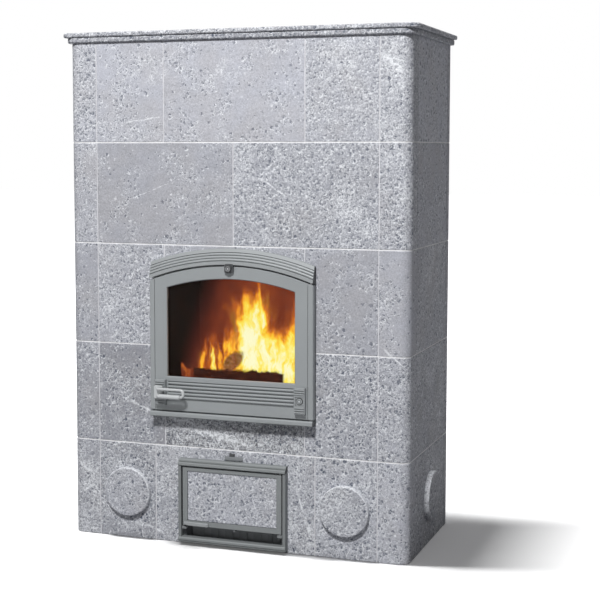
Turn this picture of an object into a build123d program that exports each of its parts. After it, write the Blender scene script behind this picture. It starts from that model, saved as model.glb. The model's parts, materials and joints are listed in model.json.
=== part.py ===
# Stone clad heat storing stove with an arched fire door and an ash door.
# Origin at floor level, at the middle of the body's footprint.
# +Z up, +X to the right of someone who faces the fire door, -Y out of the front.
import os
from math import asin, cos, degrees, radians, sin, sqrt

from build123d import *

os.makedirs("parts", exist_ok=True)

# ---------------------------------------------------------------- mantle
body_width = 1030.0
body_depth = 460.0
bottom_course_height = 282.0
middle_course_height = 290.0
top_course_height = 287.0
joint = 3.0  # mortar between two stones
mortar_recess = 1.0  # mortar lies this far behind the stone faces
front_thickness = 60.0
side_thickness = 60.0
back_thickness = 30.0
corner_face = 86.5  # what a corner stone shows on the front
corner_return = 75.5  # what it shows on the side
corner_radius = 30.0
stone_edge = 1.2  # chamfer round every stone face
third_joint = 213.5  # front joints of the rows of three stones, from the middle
bottom_joint = 245.0  # the same in the bottom course
back_joint = 171.5

# ---------------------------------------------------------------- cornice
lower_slab_height = 16.0
lower_slab_side = 12.0  # overhang at each side
lower_slab_front = 8.0  # overhang at the front
lower_slab_corner = 34.0
upper_slab_height = 13.0
upper_slab_side = 20.5
upper_slab_front = 12.5
upper_slab_corner = 26.0
cornice_edge = 4.5  # rounding of the slabs' show edges

# ---------------------------------------------------------------- core
expansion_gap = 5.0  # between mantle and core
base_slab_height = 20.0
hearth_top = 400.0
hearth_slab_height = 40.0
firebox_half_width = 230.0
lining_thickness = 40.0
core_wall_thickness = 80.0
core_rear_thickness = 60.0
core_front_thickness = 40.0
rear_passage = 35.0  # between core and back wall
lining_top = 860.0
throat_height = 60.0
throat_gap = 100.0
throat_front_depth = 70.0
core_top = 1388.0
gas_window_width = 170.0
gas_window_height = 90.0
gas_window_top_wall = 20.0
ash_wall_thickness = 60.0
ash_rear_thickness = 40.0
ash_chamber_half_width = 120.0
ash_chamber_length = 265.0
pier_thickness = 60.0
seat_gap = 0.3  # between pieces that rest on each other but move apart

# ---------------------------------------------------------------- grate
grate_width = 216.0
grate_length = 186.0
grate_thickness = 18.0
grate_rim = 14.0
grate_slot = 8.0
grate_slots = 10
grate_slot_pitch = 19.0
grate_fit = 2.0  # play of the grate in its rebate, each side
grate_ledge = 12.0
grate_rebate = 20.0
grate_back = 20.0  # the grate's middle lies this far in front of the core's middle

# ---------------------------------------------------------------- flue
flue_radius = 75.0
flue_wall = 3.0
flue_height = 150.0
flue_play = 2.0
flue_inside = 34.0
flue_outside = 22.0
flue_flange_radius = 95.0
flue_flange = 3.0

# ---------------------------------------------------------------- soot covers
hatch_x = 333.0
hatch_height = 138.0
hatch_side_setback = 252.0  # middle of a side hatch, from the front face
cover_radius = 72.0
cover_thickness = 15.0
cover_rounding = 4.0
spigot_radius = 49.0
spigot_length = 34.0
hatch_play = 1.0

# ---------------------------------------------------------------- fire door
door_half_width = 248.0
door_bottom = 392.0
hood_inner_crown = 818.5  # highest point of the hood's underside
hood_inner_radius = 690.0
hood_height = 45.5
door_gap = 4.0  # between leaf and hood
sill_gap = 3.0  # between leaf and sill
glass_half_width = 194.0
glass_bottom = 492.0
glass_arch_drop = 40.5  # from the hood's underside down to the glass opening
frame_flange = 4.0
frame_half_width = 247.0
frame_opening_half_width = 214.0
frame_opening_bottom = 416.0
frame_opening_drop = 30.0  # from the hood's underside down to the frame's opening
sleeve_half_width = 236.0
sleeve_bottom = 396.0
sleeve_crown_drop = 14.5  # from the hood's crown down to the sleeve's top
sleeve_wall = 5.0
sleeve_play = 2.0
leaf_back = 7.0  # the leaf's rear face, out from the stone face
leaf_front = 27.0
leaf_wall = 8.0
pocket_half_width = 216.0
pocket_bottom = 420.0
pocket_drop = 30.0  # from the hood's underside down to the leaf's pocket
leaf_edge = 2.0
gasket_width = 8.0
gasket_height = 6.0
gasket_gap = 0.5
gasket_inset = 10.0  # middle of the door gasket, in from the leaf's edge
groove_half_width = 233.5  # the upright grooves on the leaf's face
groove_width = 2.0
groove_depth = 1.5
rib_count = 5
rib_pitch = 10.1
rib_radius = 4.0
rib_first = 432.0
rib_panel_depth = 2.5
rib_panel_half_width = 191.0
rib_panel_bottom = 424.5
rib_panel_top = 479.0
hood_front = 31.0
hood_lip = 11.5
hood_top_band = 11.0
hood_beads = 3
hood_step = 3.0
hood_groove = 1.5
hood_wall = 6.0  # metal left round the hood's hollow back
hood_hollow_bottom = 15.0  # how far out the hollow reaches, low and high
hood_hollow_top = 11.0
hood_relief = 0.5  # its underside runs level past the hinge, this far above the arch there
sill_height = 15.0
sill_front = 33.0
sill_chamfer = 3.0
sill_rib = 4.0

# glass, its seal and its clips
glass_thickness = 4.0
glass_overlap = 5.0
glass_side_overlap = 9.0
glass_seal = 1.5
clip_width = 16.0
clip_thickness = 2.0
clip_reach = 6.0
clip_foot = 10.0
clip_screw_radius = 2.0
clip_screw_head = 3.6
clip_screw_length = 5.0
clip_head_height = 1.8
clip_play = 1.0
clip_levels = (540.0, 640.0, 730.0)
clip_bottom_x = 110.0

# hinge of the fire door
hinge_x = 240.0
hinge_out = 22.0
hinge_pin_radius = 3.0
hinge_pin_play = 0.06
hinge_pin_bite = 20.0  # length of a pin inside the leaf
hinge_pin_seat = 10.0  # length of a pin inside hood or sill
collar_radius = 4.8

# blocks at the leaf's lower corners
block_half_width = 16.0
block_x = 212.0
block_bottom = 408.0
block_height = 75.0
block_depth = 12.0
block_chamfer = 1.5
block_ridges = (19.0, 25.5, 32.0)
block_panel = 24.0
block_panel_depth = 1.5
block_ridge_radius = 2.2
button_radius = 8.5
button_height = 2.5

# handle and latch of the fire door
shaft_x = -206.0
shaft_height = 448.0
shaft_radius = 4.0
shaft_play = 0.06
boss_radius = 9.0
hub_width = 26.0
hub_height = 38.0
hub_thickness = 7.0
hub_gap = 0.6
hub_rounding = 5.0
hub_collar_radius = 8.0
loop_pitch = 21.0
loop_left = -214.0
loop_right = -127.0
loop_out = 57.0
loop_bar_radius = 4.3
loop_bend = 7.0
loop_root = 3.0
grip_radius = 6.8
grip_length = 64.0
tongue_reach = 20.0
tongue_height = 8.0
tongue_thickness = 6.0
tongue_gap = 2.0
tongue_root_radius = 7.0
latch_fit = 0.02
gate_top = 454.0
gate_bottom = 422.0
gate_end = 230.0

# air shutter on the leaf's top edge
shutter_angle = 9.0
shutter_thickness = 1.6
shutter_seat = 0.4
shutter_margin = 1.0
shutter_windows = 7
shutter_pitch = 16.0
shutter_window = 8.0
air_slot_back = 13.0
air_slot_front = 19.0
shutter_tongue_width = 22.0
tab_width = 27.0
tab_height = 26.0
tab_middle = 809.0
tab_rounding = 5.0
tab_thickness = 2.0
tab_gap = 0.8  # between hood and tab
knob_radius = 8.5
knob_length = 6.0
knob_neck = 4.0
knob_neck_length = 2.5

# ---------------------------------------------------------------- ash door
ash_half_width = 164.5
ash_frame_bottom = 2.0
ash_frame_top = 252.0
ash_flange = 4.0
ash_notch_half_width = 156.0
ash_notch_top = 240.0
ash_sleeve_half_width = 154.0
ash_sleeve_bottom = 6.0
ash_sleeve_top = 238.0
ash_sleeve_wall = 5.0
ash_opening_half_width = 138.0
ash_opening_bottom = 58.0
ash_opening_top = 222.0
slot_half_width = 146.0
slot_bottom = 23.0
slot_top = 54.0
slot_taper = 10.0
slot_depth = 16.0
upright_inner = 156.0
upright_front = 21.0
ash_hood_bottom = 233.0
ash_hood_front = 25.0
ash_hood_step = 10.0
ash_hood_step_back = 7.0
ash_sill_bottom = 9.0
ash_sill_top = 23.0
ash_sill_front = 25.0
ash_leaf_half_width = 152.0
ash_leaf_bottom = 57.0
ash_leaf_top = 229.0
ash_leaf_back = 4.6
ash_leaf_front = 19.0
ash_back_plate = 3.0
insert_half_width = 137.0
insert_bottom = 72.5
insert_top = 218.0
insert_play = 0.5
insert_front = 17.0
ash_hinge_x = 147.0
ash_hinge_out = 14.5
ash_hinge_relief = 4.0
ash_pin_radius = 2.5
ash_pin_play = 0.06
ash_pin_bite = 12.0
ash_pin_seat = 8.0
lug_half_width = 7.0
lug_height = 7.0
lug_front = 19.5
ash_shaft_x = -128.0
ash_shaft_height = 66.0
ash_shaft_radius = 3.0
ash_shaft_play = 0.06
ash_root_radius = 5.0
ash_collar_radius = 4.0
lever_left = -146.0
lever_right = -71.0
lever_bottom = 58.0
lever_top = 69.5
lever_back = 19.4
lever_front = 26.0
lever_end_rounding = 4.0
ash_tongue_reach = 15.0
ash_tongue_height = 6.0
ash_tongue_thickness = 5.0
ash_tongue_gap = 2.0
ash_gate_top = 71.0
ash_gate_end = 147.0

# primary air slide, in the slot below the ash door
slide_thickness = 2.5
slide_play = 0.4
slide_half_width = 112.0
air_window_count = 5  # in the slide; the grille has one fewer, half a pitch aside
air_window_pitch = 44.0
air_window_width = 20.0
air_window_margin = 8.0
air_knob_radius = 3.0
air_knob_length = 14.0
air_knob_drop = 7.0

# ash pan
pan_half_width = 115.0
pan_rear_gap = 18.0
pan_height = 84.0
pan_wall = 2.0
pan_setback = 62.0
runner_width = 20.0
runner_height = 6.0
runner_top = 66.0
pan_grip_width = 80.0
pan_grip_reach = 20.0
pan_grip_drop = 14.0

# ---------------------------------------------------------------- lintel and brackets
bar_thickness = 5.0
bar_bearing = 26.0
bar_inset = 4.0
bar_depth = 50.0
bracket_width = 30.0
bracket_thickness = 3.0
bracket_leg = 28.0
bracket_heights = (470.0, 720.0)

# ---------------------------------------------------------------- worked out
front_y = -body_depth / 2
back_y = body_depth / 2
half_width = body_width / 2
heights = [bottom_course_height] + [middle_course_height] * 3 + [top_course_height]
floors = [sum(heights[:row]) + joint * row for row in range(len(heights))]
body_top = floors[-1] + heights[-1]
front_inner = front_y + front_thickness
side_inner = half_width - side_thickness
back_inner = back_y - back_thickness
row_half = half_width - corner_face - joint  # half the front row between the corners
side_front = front_y + corner_return + joint
side_back = back_inner - joint
core_front = front_inner + expansion_gap
core_back = back_inner - rear_passage
core_depth = core_back - core_front
core_half = firebox_half_width + lining_thickness + core_wall_thickness
hearth_bottom = hearth_top - hearth_slab_height
arch_centre = hood_inner_crown - hood_inner_radius  # shared by every arch of the door
glass_arch_radius = hood_inner_radius - glass_arch_drop
frame_opening_radius = hood_inner_radius - frame_opening_drop
pocket_radius = hood_inner_radius - pocket_drop
sleeve_top = hood_inner_crown - sleeve_crown_drop
stone_opening_half = sleeve_half_width + sleeve_play
stone_opening_bottom = sleeve_bottom - sleeve_play
stone_opening_top = sleeve_top + sleeve_play
sill_top = door_bottom - sill_gap
hood_outer_radius = hood_inner_radius + hood_height
leaf_radius = hood_inner_radius - door_gap
leaf_depth = leaf_front - leaf_back
pocket_depth = leaf_depth - leaf_wall
glass_front = leaf_front - leaf_wall - glass_seal
glass_back = glass_front - glass_thickness
hatch_side_y = front_y + hatch_side_setback
grate_y = core_front + core_depth / 2 - grate_back


def facing(out=0.0):
    """Plane parallel to the front face, out in front of it: x to the right, y up."""
    return Plane(origin=(0, front_y - out, 0), x_dir=(1, 0, 0), z_dir=(0, -1, 0))


def block(x_span, y_span, z_span):
    """A cut stone between three pairs of faces."""
    size = [span[1] - span[0] for span in (x_span, y_span, z_span)]
    middle = [(span[0] + span[1]) / 2 for span in (x_span, y_span, z_span)]
    with BuildPart() as stone:
        with Locations(tuple(middle)):
            Box(*size)
    return stone.part


def rectangle(x_span, z_span):
    """A rectangle between two uprights and two levels."""
    with BuildSketch() as face:
        with Locations(((x_span[0] + x_span[1]) / 2, (z_span[0] + z_span[1]) / 2)):
            Rectangle(x_span[1] - x_span[0], z_span[1] - z_span[0])
    return face.sketch


def arch(half, bottom, radius):
    """An opening or panel with upright sides and a top on the shared arch centre."""
    spring = arch_centre + sqrt(radius**2 - half**2)
    with BuildSketch() as face:
        with BuildLine():
            Polyline((-half, spring), (-half, bottom), (half, bottom), (half, spring))
            ThreePointArc((half, spring), (0, arch_centre + radius), (-half, spring))
        make_face()
    return face.sketch


def front_slab(faces, out_from, out_to, cuts=()):
    """Sketches on the front plane made solid between two distances out of the face."""
    with BuildPart() as slab:
        with BuildSketch(facing(out_from)):
            add(faces)
            for cut in cuts:
                add(cut, mode=Mode.SUBTRACT)
        extrude(amount=out_to - out_from)
    return slab.part


def arch_plane(angle):
    """Plane through the arch centre: x out of the front, y along the radius."""
    lean = radians(angle)
    return Plane(
        origin=(0, front_y, arch_centre),
        x_dir=(0, -1, 0),
        z_dir=(-cos(lean), 0, sin(lean)),
    )


def round_bar(radius, base, direction, length):
    """A round bar from a point along a direction."""
    with BuildPart() as bar:
        with BuildSketch(Plane(origin=base, z_dir=direction)):
            Circle(radius)
        extrude(amount=length)
    return bar.part


arch_axis = Axis((0, 0, arch_centre), (0, 1, 0))


# ---------------------------------------------------------------- mantle stones
def front_stone(x_span, row):
    """A stone of the front wall with chamfered edges round its face."""
    z_span = (floors[row], floors[row] + heights[row])
    with BuildPart() as stone:
        add(block(x_span, (front_y, front_inner), z_span))
        chamfer(stone.faces().sort_by(Axis.Y)[0].edges(), stone_edge)
    return stone.part


def row_spans(joints):
    """Spans of the stones between the corner stones, cut by upright joints."""
    starts = [-row_half] + [middle + joint / 2 for middle in joints]
    ends = [middle - joint / 2 for middle in joints] + [row_half]
    return list(zip(starts, ends))


def front_row(row, joints):
    return [front_stone(span, row) for span in row_spans(joints)]


def corner_stone(side, row):
    """A corner stone with its outer edge rounded, side -1 left and 1 right."""
    with BuildPart() as stone:
        with BuildSketch(Plane.XY.offset(floors[row])) as plan:
            with Locations((side * (half_width - corner_face / 2), front_y + corner_return / 2)):
                Rectangle(corner_face, corner_return)
            outer = plan.vertices().group_by(Axis.Y)[0].sort_by(Axis.X)[0 if side < 0 else -1]
            fillet(outer, corner_radius)
        extrude(amount=heights[row])
        ends = stone.faces().filter_by(Axis.Z)
        shown = ends.edges().filter_by(
            lambda edge: edge.center().Y < front_y + corner_return - stone_edge
            and abs(edge.center().X) > half_width - corner_face + stone_edge
        )
        chamfer(shown, stone_edge)
    return stone.part


def side_stone(side, row):
    """A stone of a side wall between its corner stone and the back wall."""
    x_span = sorted((side * half_width, side * side_inner))
    z_span = (floors[row], floors[row] + heights[row])
    with BuildPart() as stone:
        add(block(x_span, (side_front, side_back), z_span))
        chamfer(stone.faces().sort_by(Axis.X)[0 if side < 0 else -1].edges(), stone_edge)
    return stone.part


def hatch_hole(x, y, direction):
    """The round hole that a soot cover closes, cut right through a wall."""
    start = (x, y, hatch_height)
    return round_bar(spigot_radius + hatch_play, start, direction, front_thickness * 3)


third_joints = (-third_joint, third_joint)
bottom_joints = (-bottom_joint, bottom_joint)
row_joints = [bottom_joints, third_joints, third_joints, (0.0,), third_joints]
rows = range(len(heights))

door_opening = block(
    (-stone_opening_half, stone_opening_half),
    (front_y - 1, front_inner + 1),
    (stone_opening_bottom, stone_opening_top),
)
bar_seat = block(
    (-stone_opening_half - bar_bearing - 1, stone_opening_half + bar_bearing + 1),
    (front_y + bar_inset, front_y + bar_inset + bar_depth),
    (stone_opening_top - 1, stone_opening_top + bar_thickness),
)
ash_opening = block(
    (-ash_notch_half_width, ash_notch_half_width),
    (front_y - 1, front_inner + 1),
    (-1, ash_notch_top),
)

with BuildPart() as left_corner_stones:
    add([corner_stone(-1, row) for row in rows])

with BuildPart() as right_corner_stones:
    add([corner_stone(1, row) for row in rows])

with BuildPart() as left_side_stones:
    add([side_stone(-1, row) for row in rows])
    add(hatch_hole(-half_width - side_thickness, hatch_side_y, (1, 0, 0)), mode=Mode.SUBTRACT)

with BuildPart() as right_side_stones:
    add([side_stone(1, row) for row in rows])
    add(hatch_hole(half_width + side_thickness, hatch_side_y, (-1, 0, 0)), mode=Mode.SUBTRACT)

with BuildPart() as bottom_course_stones:
    add(front_row(0, bottom_joints))
    add(ash_opening, mode=Mode.SUBTRACT)
    for side in (-1, 1):
        hole = hatch_hole(side * hatch_x, front_y - front_thickness, (0, 1, 0))
        add(hole, mode=Mode.SUBTRACT)

with BuildPart() as fourth_course_stones:
    add(front_row(1, third_joints))
    add(door_opening, mode=Mode.SUBTRACT)

with BuildPart() as third_course_stones:
    add(front_row(2, third_joints))
    add(door_opening, mode=Mode.SUBTRACT)
    add(bar_seat, mode=Mode.SUBTRACT)

with BuildPart() as second_course_stones:
    add(front_row(3, (0.0,)))

with BuildPart() as top_course_stones:
    add(front_row(4, third_joints))


def back_row(row):
    """Three plain stones of the back wall."""
    edges = [-half_width, -back_joint - joint / 2, -back_joint + joint / 2]
    edges += [-edge for edge in reversed(edges)]
    z_span = (floors[row], floors[row] + heights[row])
    return [block(edges[at : at + 2], (back_inner, back_y), z_span) for at in (0, 2, 4)]


with BuildPart() as back_stones:
    for row in rows:
        add(back_row(row))
    add(
        round_bar(flue_radius + flue_wall + flue_play, (0, 0, flue_height), (0, 1, 0), body_depth),
        mode=Mode.SUBTRACT,
    )


# ---------------------------------------------------------------- mortar
def bed(row):
    """The level mortar joint on top of a course, a ring as wide as the walls."""
    inset = mortar_recess
    with BuildPart() as ring:
        with BuildSketch(Plane.XY.offset(floors[row] + heights[row])) as plan:
            Rectangle(body_width - 2 * inset, body_depth - 2 * inset)
            front_corners = plan.vertices().group_by(Axis.Y)[0]
            fillet(front_corners, corner_radius - inset)
            with Locations((0, (front_inner + back_inner) / 2)):
                Rectangle(2 * side_inner, back_inner - front_inner, mode=Mode.SUBTRACT)
        extrude(amount=joint)
    return ring.part


def upright_joints(row):
    """The upright mortar joints of a course, between each pair of stones."""
    z_span = (floors[row] + mortar_recess * (row == 0), floors[row] + heights[row])
    out = front_y + mortar_recess
    strips = []
    for middle in row_joints[row]:
        x_span = (middle - joint / 2, middle + joint / 2)
        strips.append(block(x_span, (out, front_inner), z_span))
    for middle in (-back_joint, back_joint):
        x_span = (middle - joint / 2, middle + joint / 2)
        strips.append(block(x_span, (back_inner, back_y - mortar_recess), z_span))
    for side in (-1, 1):
        x_span = sorted((side * row_half, side * (row_half + joint)))
        strips.append(block(x_span, (out, front_inner), z_span))
        x_span = sorted((side * side_inner, side * (half_width - mortar_recess)))
        strips.append(block(x_span, (side_front - joint, side_front), z_span))
        strips.append(block(x_span, (side_back, back_inner), z_span))
    return strips


with BuildPart() as bed_mortar:
    add([bed(row) for row in rows if row < len(heights) - 1])
    add(door_opening, mode=Mode.SUBTRACT)

with BuildPart() as joint_mortar:
    for row in rows:
        add(upright_joints(row))
    add(door_opening, mode=Mode.SUBTRACT)
    add(bar_seat, mode=Mode.SUBTRACT)


# ---------------------------------------------------------------- cornice
def cornice_slab(bottom, height, side, front, corner):
    """A slab that overhangs front and sides and is flush at the back."""
    with BuildPart() as slab:
        with BuildSketch(Plane.XY.offset(bottom)) as plan:
            with Locations((0, -front / 2)):
                Rectangle(body_width + 2 * side, body_depth + front)
            fillet(plan.vertices().group_by(Axis.Y)[0], corner)
        extrude(amount=height)
        level = slab.faces().filter_by(Axis.Z).edges()
        shown = level.filter_by(lambda edge: edge.center().Y < back_y - 1)
        fillet(shown, cornice_edge)
    return slab.part


with BuildPart() as cornice_lower:
    lower_reach = (lower_slab_side, lower_slab_front)
    add(cornice_slab(body_top, lower_slab_height, *lower_reach, lower_slab_corner))

with BuildPart() as cornice_upper:
    slab_bottom = body_top + lower_slab_height
    upper_reach = (upper_slab_side, upper_slab_front)
    add(cornice_slab(slab_bottom, upper_slab_height, *upper_reach, upper_slab_corner))

# ---------------------------------------------------------------- core
inside_half = side_inner - expansion_gap
slab_levels = (0, base_slab_height)

with BuildPart() as base_slab:
    add(block((-row_half, row_half), (front_inner + seat_gap, back_inner - seat_gap), slab_levels))
    add(block((-inside_half, inside_half), (side_front, side_back), slab_levels))

with BuildPart() as ash_chamber_walls:
    for side in (-1, 1):
        inner = side * ash_chamber_half_width
        outer = side * (ash_chamber_half_width + ash_wall_thickness)
        wall_end = core_front + ash_chamber_length
        level = (base_slab_height, hearth_bottom)
        add(block(sorted((inner, outer)), (core_front, wall_end), level))
    rear_half = ash_chamber_half_width + ash_wall_thickness
    rear_span = (wall_end, wall_end + ash_rear_thickness)
    add(block((-rear_half, rear_half), rear_span, level))

with BuildPart() as core_piers:
    for side in (-1, 1):
        x_span = sorted((side * (core_half - pier_thickness), side * core_half))
        add(block(x_span, (core_front, core_back), (base_slab_height, hearth_bottom)))

with BuildPart() as hearth_slab:
    add(block((-core_half, core_half), (core_front, core_back), (hearth_bottom, hearth_top)))
    with Locations((0, grate_y, hearth_top)):
        Box(
            grate_width + 2 * grate_fit,
            grate_length + 2 * grate_fit,
            2 * grate_rebate,
            mode=Mode.SUBTRACT,
        )
        Box(
            grate_width - 2 * grate_ledge,
            grate_length - 2 * grate_ledge,
            4 * hearth_slab_height,
            mode=Mode.SUBTRACT,
        )

with BuildPart() as grate:
    with BuildSketch(Plane.XY.offset(hearth_top - grate_rebate)):
        with Locations((0, grate_y)):
            Rectangle(grate_width, grate_length)
            with GridLocations(grate_slot_pitch, 1, grate_slots, 1):
                SlotOverall(
                    grate_length - 2 * grate_rim, grate_slot, rotation=90, mode=Mode.SUBTRACT
                )
    extrude(amount=grate_thickness)
    chamfer(grate.faces().sort_by(Axis.Z)[-1].outer_wire().edges(), 1.5)

lining_half = firebox_half_width + lining_thickness
rear_lining_front = core_back - core_rear_thickness - lining_thickness
firebox_levels = (hearth_top, lining_top)

with BuildPart() as firebox_side_linings:
    for side in (-1, 1):
        x_span = sorted((side * firebox_half_width, side * lining_half))
        y_span = (core_front, rear_lining_front + lining_thickness)
        add(block(x_span, y_span, firebox_levels))

with BuildPart() as firebox_rear_lining:
    y_span = (rear_lining_front, rear_lining_front + lining_thickness)
    add(block((-firebox_half_width, firebox_half_width), y_span, firebox_levels))

with BuildPart() as core_side_walls:
    for side in (-1, 1):
        x_span = sorted((side * lining_half, side * core_half))
        add(block(x_span, (core_front, core_back), (hearth_top, core_top)))
    window_middle = core_top - gas_window_top_wall - gas_window_height / 2
    with Locations((0, (core_front + core_back) / 2, window_middle)):
        Box(3 * core_half, gas_window_width, gas_window_height, mode=Mode.SUBTRACT)

with BuildPart() as core_rear_wall:
    y_span = (core_back - core_rear_thickness, core_back)
    add(block((-lining_half, lining_half), y_span, (hearth_top, core_top)))

throat_levels = (lining_top, lining_top + throat_height)
throat_front = core_front + throat_front_depth
core_rear_face = core_back - core_rear_thickness

with BuildPart() as throat_stones:
    spans = ((core_front, throat_front), (throat_front + throat_gap, core_rear_face))
    for at, y_span in enumerate(spans):
        stone = block((-lining_half, lining_half), y_span, throat_levels)
        add(stone)
    lower_lips = throat_stones.edges().filter_by(Axis.X).group_by(Axis.Z)[0].sort_by(Axis.Y)
    chamfer(lower_lips[1:3], throat_height / 3)

with BuildPart() as core_front_wall:
    y_span = (core_front, core_front + core_front_thickness)
    add(block((-lining_half, lining_half), y_span, (throat_levels[1], core_top)))

with BuildPart() as ceiling_slab:
    add(
        block(
            (-inside_half, inside_half), (side_front, side_back), (core_top, body_top - seat_gap)
        )
    )

with BuildPart() as flue_collar:
    with BuildSketch(Plane.XZ.offset(-back_y)):
        with Locations((0, flue_height)):
            Circle(flue_flange_radius)
    extrude(amount=-flue_flange)
    with BuildSketch(Plane.XZ.offset(-(back_y - flue_inside))):
        with Locations((0, flue_height)):
            Circle(flue_radius + flue_wall)
    extrude(amount=-(flue_inside + flue_outside))
    with BuildSketch(Plane.XZ.offset(-(back_y - flue_inside))):
        with Locations((0, flue_height)):
            Circle(flue_radius)
    extrude(amount=-(flue_inside + flue_outside), mode=Mode.SUBTRACT)

bar_half = stone_opening_half + bar_bearing

with BuildPart() as lintel_bar:
    add(
        block(
            (-bar_half, bar_half),
            (front_y + bar_inset, front_y + bar_inset + bar_depth),
            (stone_opening_top, stone_opening_top + bar_thickness),
        )
    )


# ---------------------------------------------------------------- soot covers
def soot_cover(face_plane):
    """A stone disc with a spigot that plugs the hatch hole."""
    with BuildPart() as cover:
        with BuildSketch(face_plane.offset(seat_gap)):
            Circle(cover_radius)
        extrude(amount=cover_thickness)
        fillet(cover.edges().sort_by_distance(face_plane.origin)[-1], cover_rounding)
        with BuildSketch(face_plane.offset(seat_gap)):
            Circle(spigot_radius)
        extrude(amount=-spigot_length)
    return cover.part


def hatch_plane(x, y, normal):
    return Plane(origin=(x, y, hatch_height), z_dir=normal)


with BuildPart() as front_left_soot_cover:
    add(soot_cover(hatch_plane(-hatch_x, front_y, (0, -1, 0))))

with BuildPart() as front_right_soot_cover:
    add(soot_cover(hatch_plane(hatch_x, front_y, (0, -1, 0))))

with BuildPart() as left_side_soot_cover:
    add(soot_cover(hatch_plane(-half_width, hatch_side_y, (-1, 0, 0))))

with BuildPart() as right_side_soot_cover:
    add(soot_cover(hatch_plane(half_width, hatch_side_y, (1, 0, 0))))

# ---------------------------------------------------------------- fire door frame
sill_bottom = sill_top - sill_height
gate = rectangle((-gate_end, -frame_opening_half_width + 1), (gate_bottom, gate_top))

with BuildPart() as fire_door_frame:
    flange_outline = arch(frame_half_width, sill_bottom, hood_outer_radius - 2)
    opening = arch(frame_opening_half_width, frame_opening_bottom, frame_opening_radius)
    add(front_slab(flange_outline, 0, frame_flange, (opening, gate)))
    sleeve_outer = rectangle(
        (-sleeve_half_width, sleeve_half_width), (sleeve_bottom, sleeve_top)
    )
    sleeve_inner = rectangle(
        (-sleeve_half_width + sleeve_wall, sleeve_half_width - sleeve_wall),
        (sleeve_bottom + sleeve_wall, sleeve_top - sleeve_wall),
    )
    add(front_slab(sleeve_outer, -front_thickness, 0, (sleeve_inner,)))


# ---------------------------------------------------------------- fire door hinge
hinge_y = front_y - hinge_out
leaf_top_at_hinge = arch_centre + sqrt(leaf_radius**2 - hinge_x**2)
hood_bottom_at_hinge = arch_centre + sqrt(hood_inner_radius**2 - hinge_x**2)


def pin(radius, x, y, z_span):
    """An upright pin between two levels."""
    return round_bar(radius, (x, y, z_span[0]), (0, 0, 1), z_span[1] - z_span[0])


lower_span = (sill_top - hinge_pin_seat, door_bottom + hinge_pin_bite)
upper_span = (leaf_top_at_hinge - hinge_pin_bite, hood_bottom_at_hinge + hinge_pin_seat)
lower_pin = pin(hinge_pin_radius, hinge_x, hinge_y, lower_span)
upper_pin = pin(hinge_pin_radius, hinge_x, hinge_y, upper_span)

with BuildPart() as fire_door_hinge_pins:
    add(lower_pin)
    add(upper_pin)
    add(pin(collar_radius, hinge_x, hinge_y, (sill_top, door_bottom - seat_gap)))


def hood_section():
    """Section of the hood: a lip, rounded beads that step back, and a top band."""
    bead = (hood_height - hood_lip - hood_top_band) / hood_beads
    level = hood_inner_radius + hood_lip
    out = hood_front
    with BuildSketch() as section:
        with BuildLine():
            Polyline(
                (frame_flange, hood_inner_radius),
                (out - hood_groove, hood_inner_radius),
                (out, hood_inner_radius + hood_groove),
                (out, level - hood_groove),
                (out - hood_step - hood_groove, level),
            )
            for _ in range(hood_beads):
                out -= hood_step
                top = (out - hood_step - hood_groove, level + bead)
                ThreePointArc((out - hood_groove, level), (out, level + bead / 2), top)
                level += bead
            Polyline(
                (out - hood_step - hood_groove, level),
                (out - hood_step, level + hood_groove),
                (out - 2 * hood_step, hood_outer_radius),
                (frame_flange, hood_outer_radius),
                (frame_flange, hood_inner_radius),
            )
        make_face()
    return section.sketch


hood_sweep = degrees(asin(door_half_width / hood_inner_radius)) + 2

with BuildPart() as fire_door_hood:
    with BuildSketch(arch_plane(-hood_sweep)):
        add(hood_section())
    revolve(axis=arch_axis, revolution_arc=2 * hood_sweep)
    with Locations((0, front_y, arch_centre + hood_inner_radius)):
        Box(2 * door_half_width, body_depth, body_depth, mode=Mode.INTERSECT)
    hollow_sweep = degrees(asin((door_half_width - hood_wall) / hood_outer_radius))
    with BuildSketch(arch_plane(-hollow_sweep)):
        with BuildLine():
            Polyline(
                (frame_flange, hood_inner_radius + hood_wall),
                (hood_hollow_bottom, hood_inner_radius + hood_wall),
                (hood_hollow_top, hood_outer_radius - hood_wall),
                (frame_flange, hood_outer_radius - hood_wall),
                close=True,
            )
        make_face()
    revolve(axis=arch_axis, revolution_arc=2 * hollow_sweep, mode=Mode.SUBTRACT)
    relief_top = hood_bottom_at_hinge + hood_relief
    for side in (-1, 1):
        x_span = sorted((side * (hinge_x - collar_radius), side * (door_half_width + 1)))
        y_span = (front_y - hood_front - 1, front_y - frame_flange)
        relief = block(x_span, y_span, (relief_top - hood_lip, relief_top))
        add(relief, mode=Mode.SUBTRACT)
    add(upper_pin, mode=Mode.SUBTRACT)

with BuildPart() as fire_door_sill:
    with BuildSketch(Plane.YZ.offset(-door_half_width)) as profile:
        with BuildLine():
            Polyline(
                (front_y - frame_flange, sill_bottom),
                (front_y - sill_front + sill_rib, sill_bottom),
                (front_y - sill_front + sill_rib, sill_bottom + 2),
                (front_y - sill_front, sill_bottom + 3),
                (front_y - sill_front, sill_top - sill_chamfer),
                (front_y - sill_front + sill_chamfer, sill_top),
                (front_y - frame_flange, sill_top),
                close=True,
            )
        make_face()
    extrude(amount=2 * door_half_width)
    add(lower_pin, mode=Mode.SUBTRACT)


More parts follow.
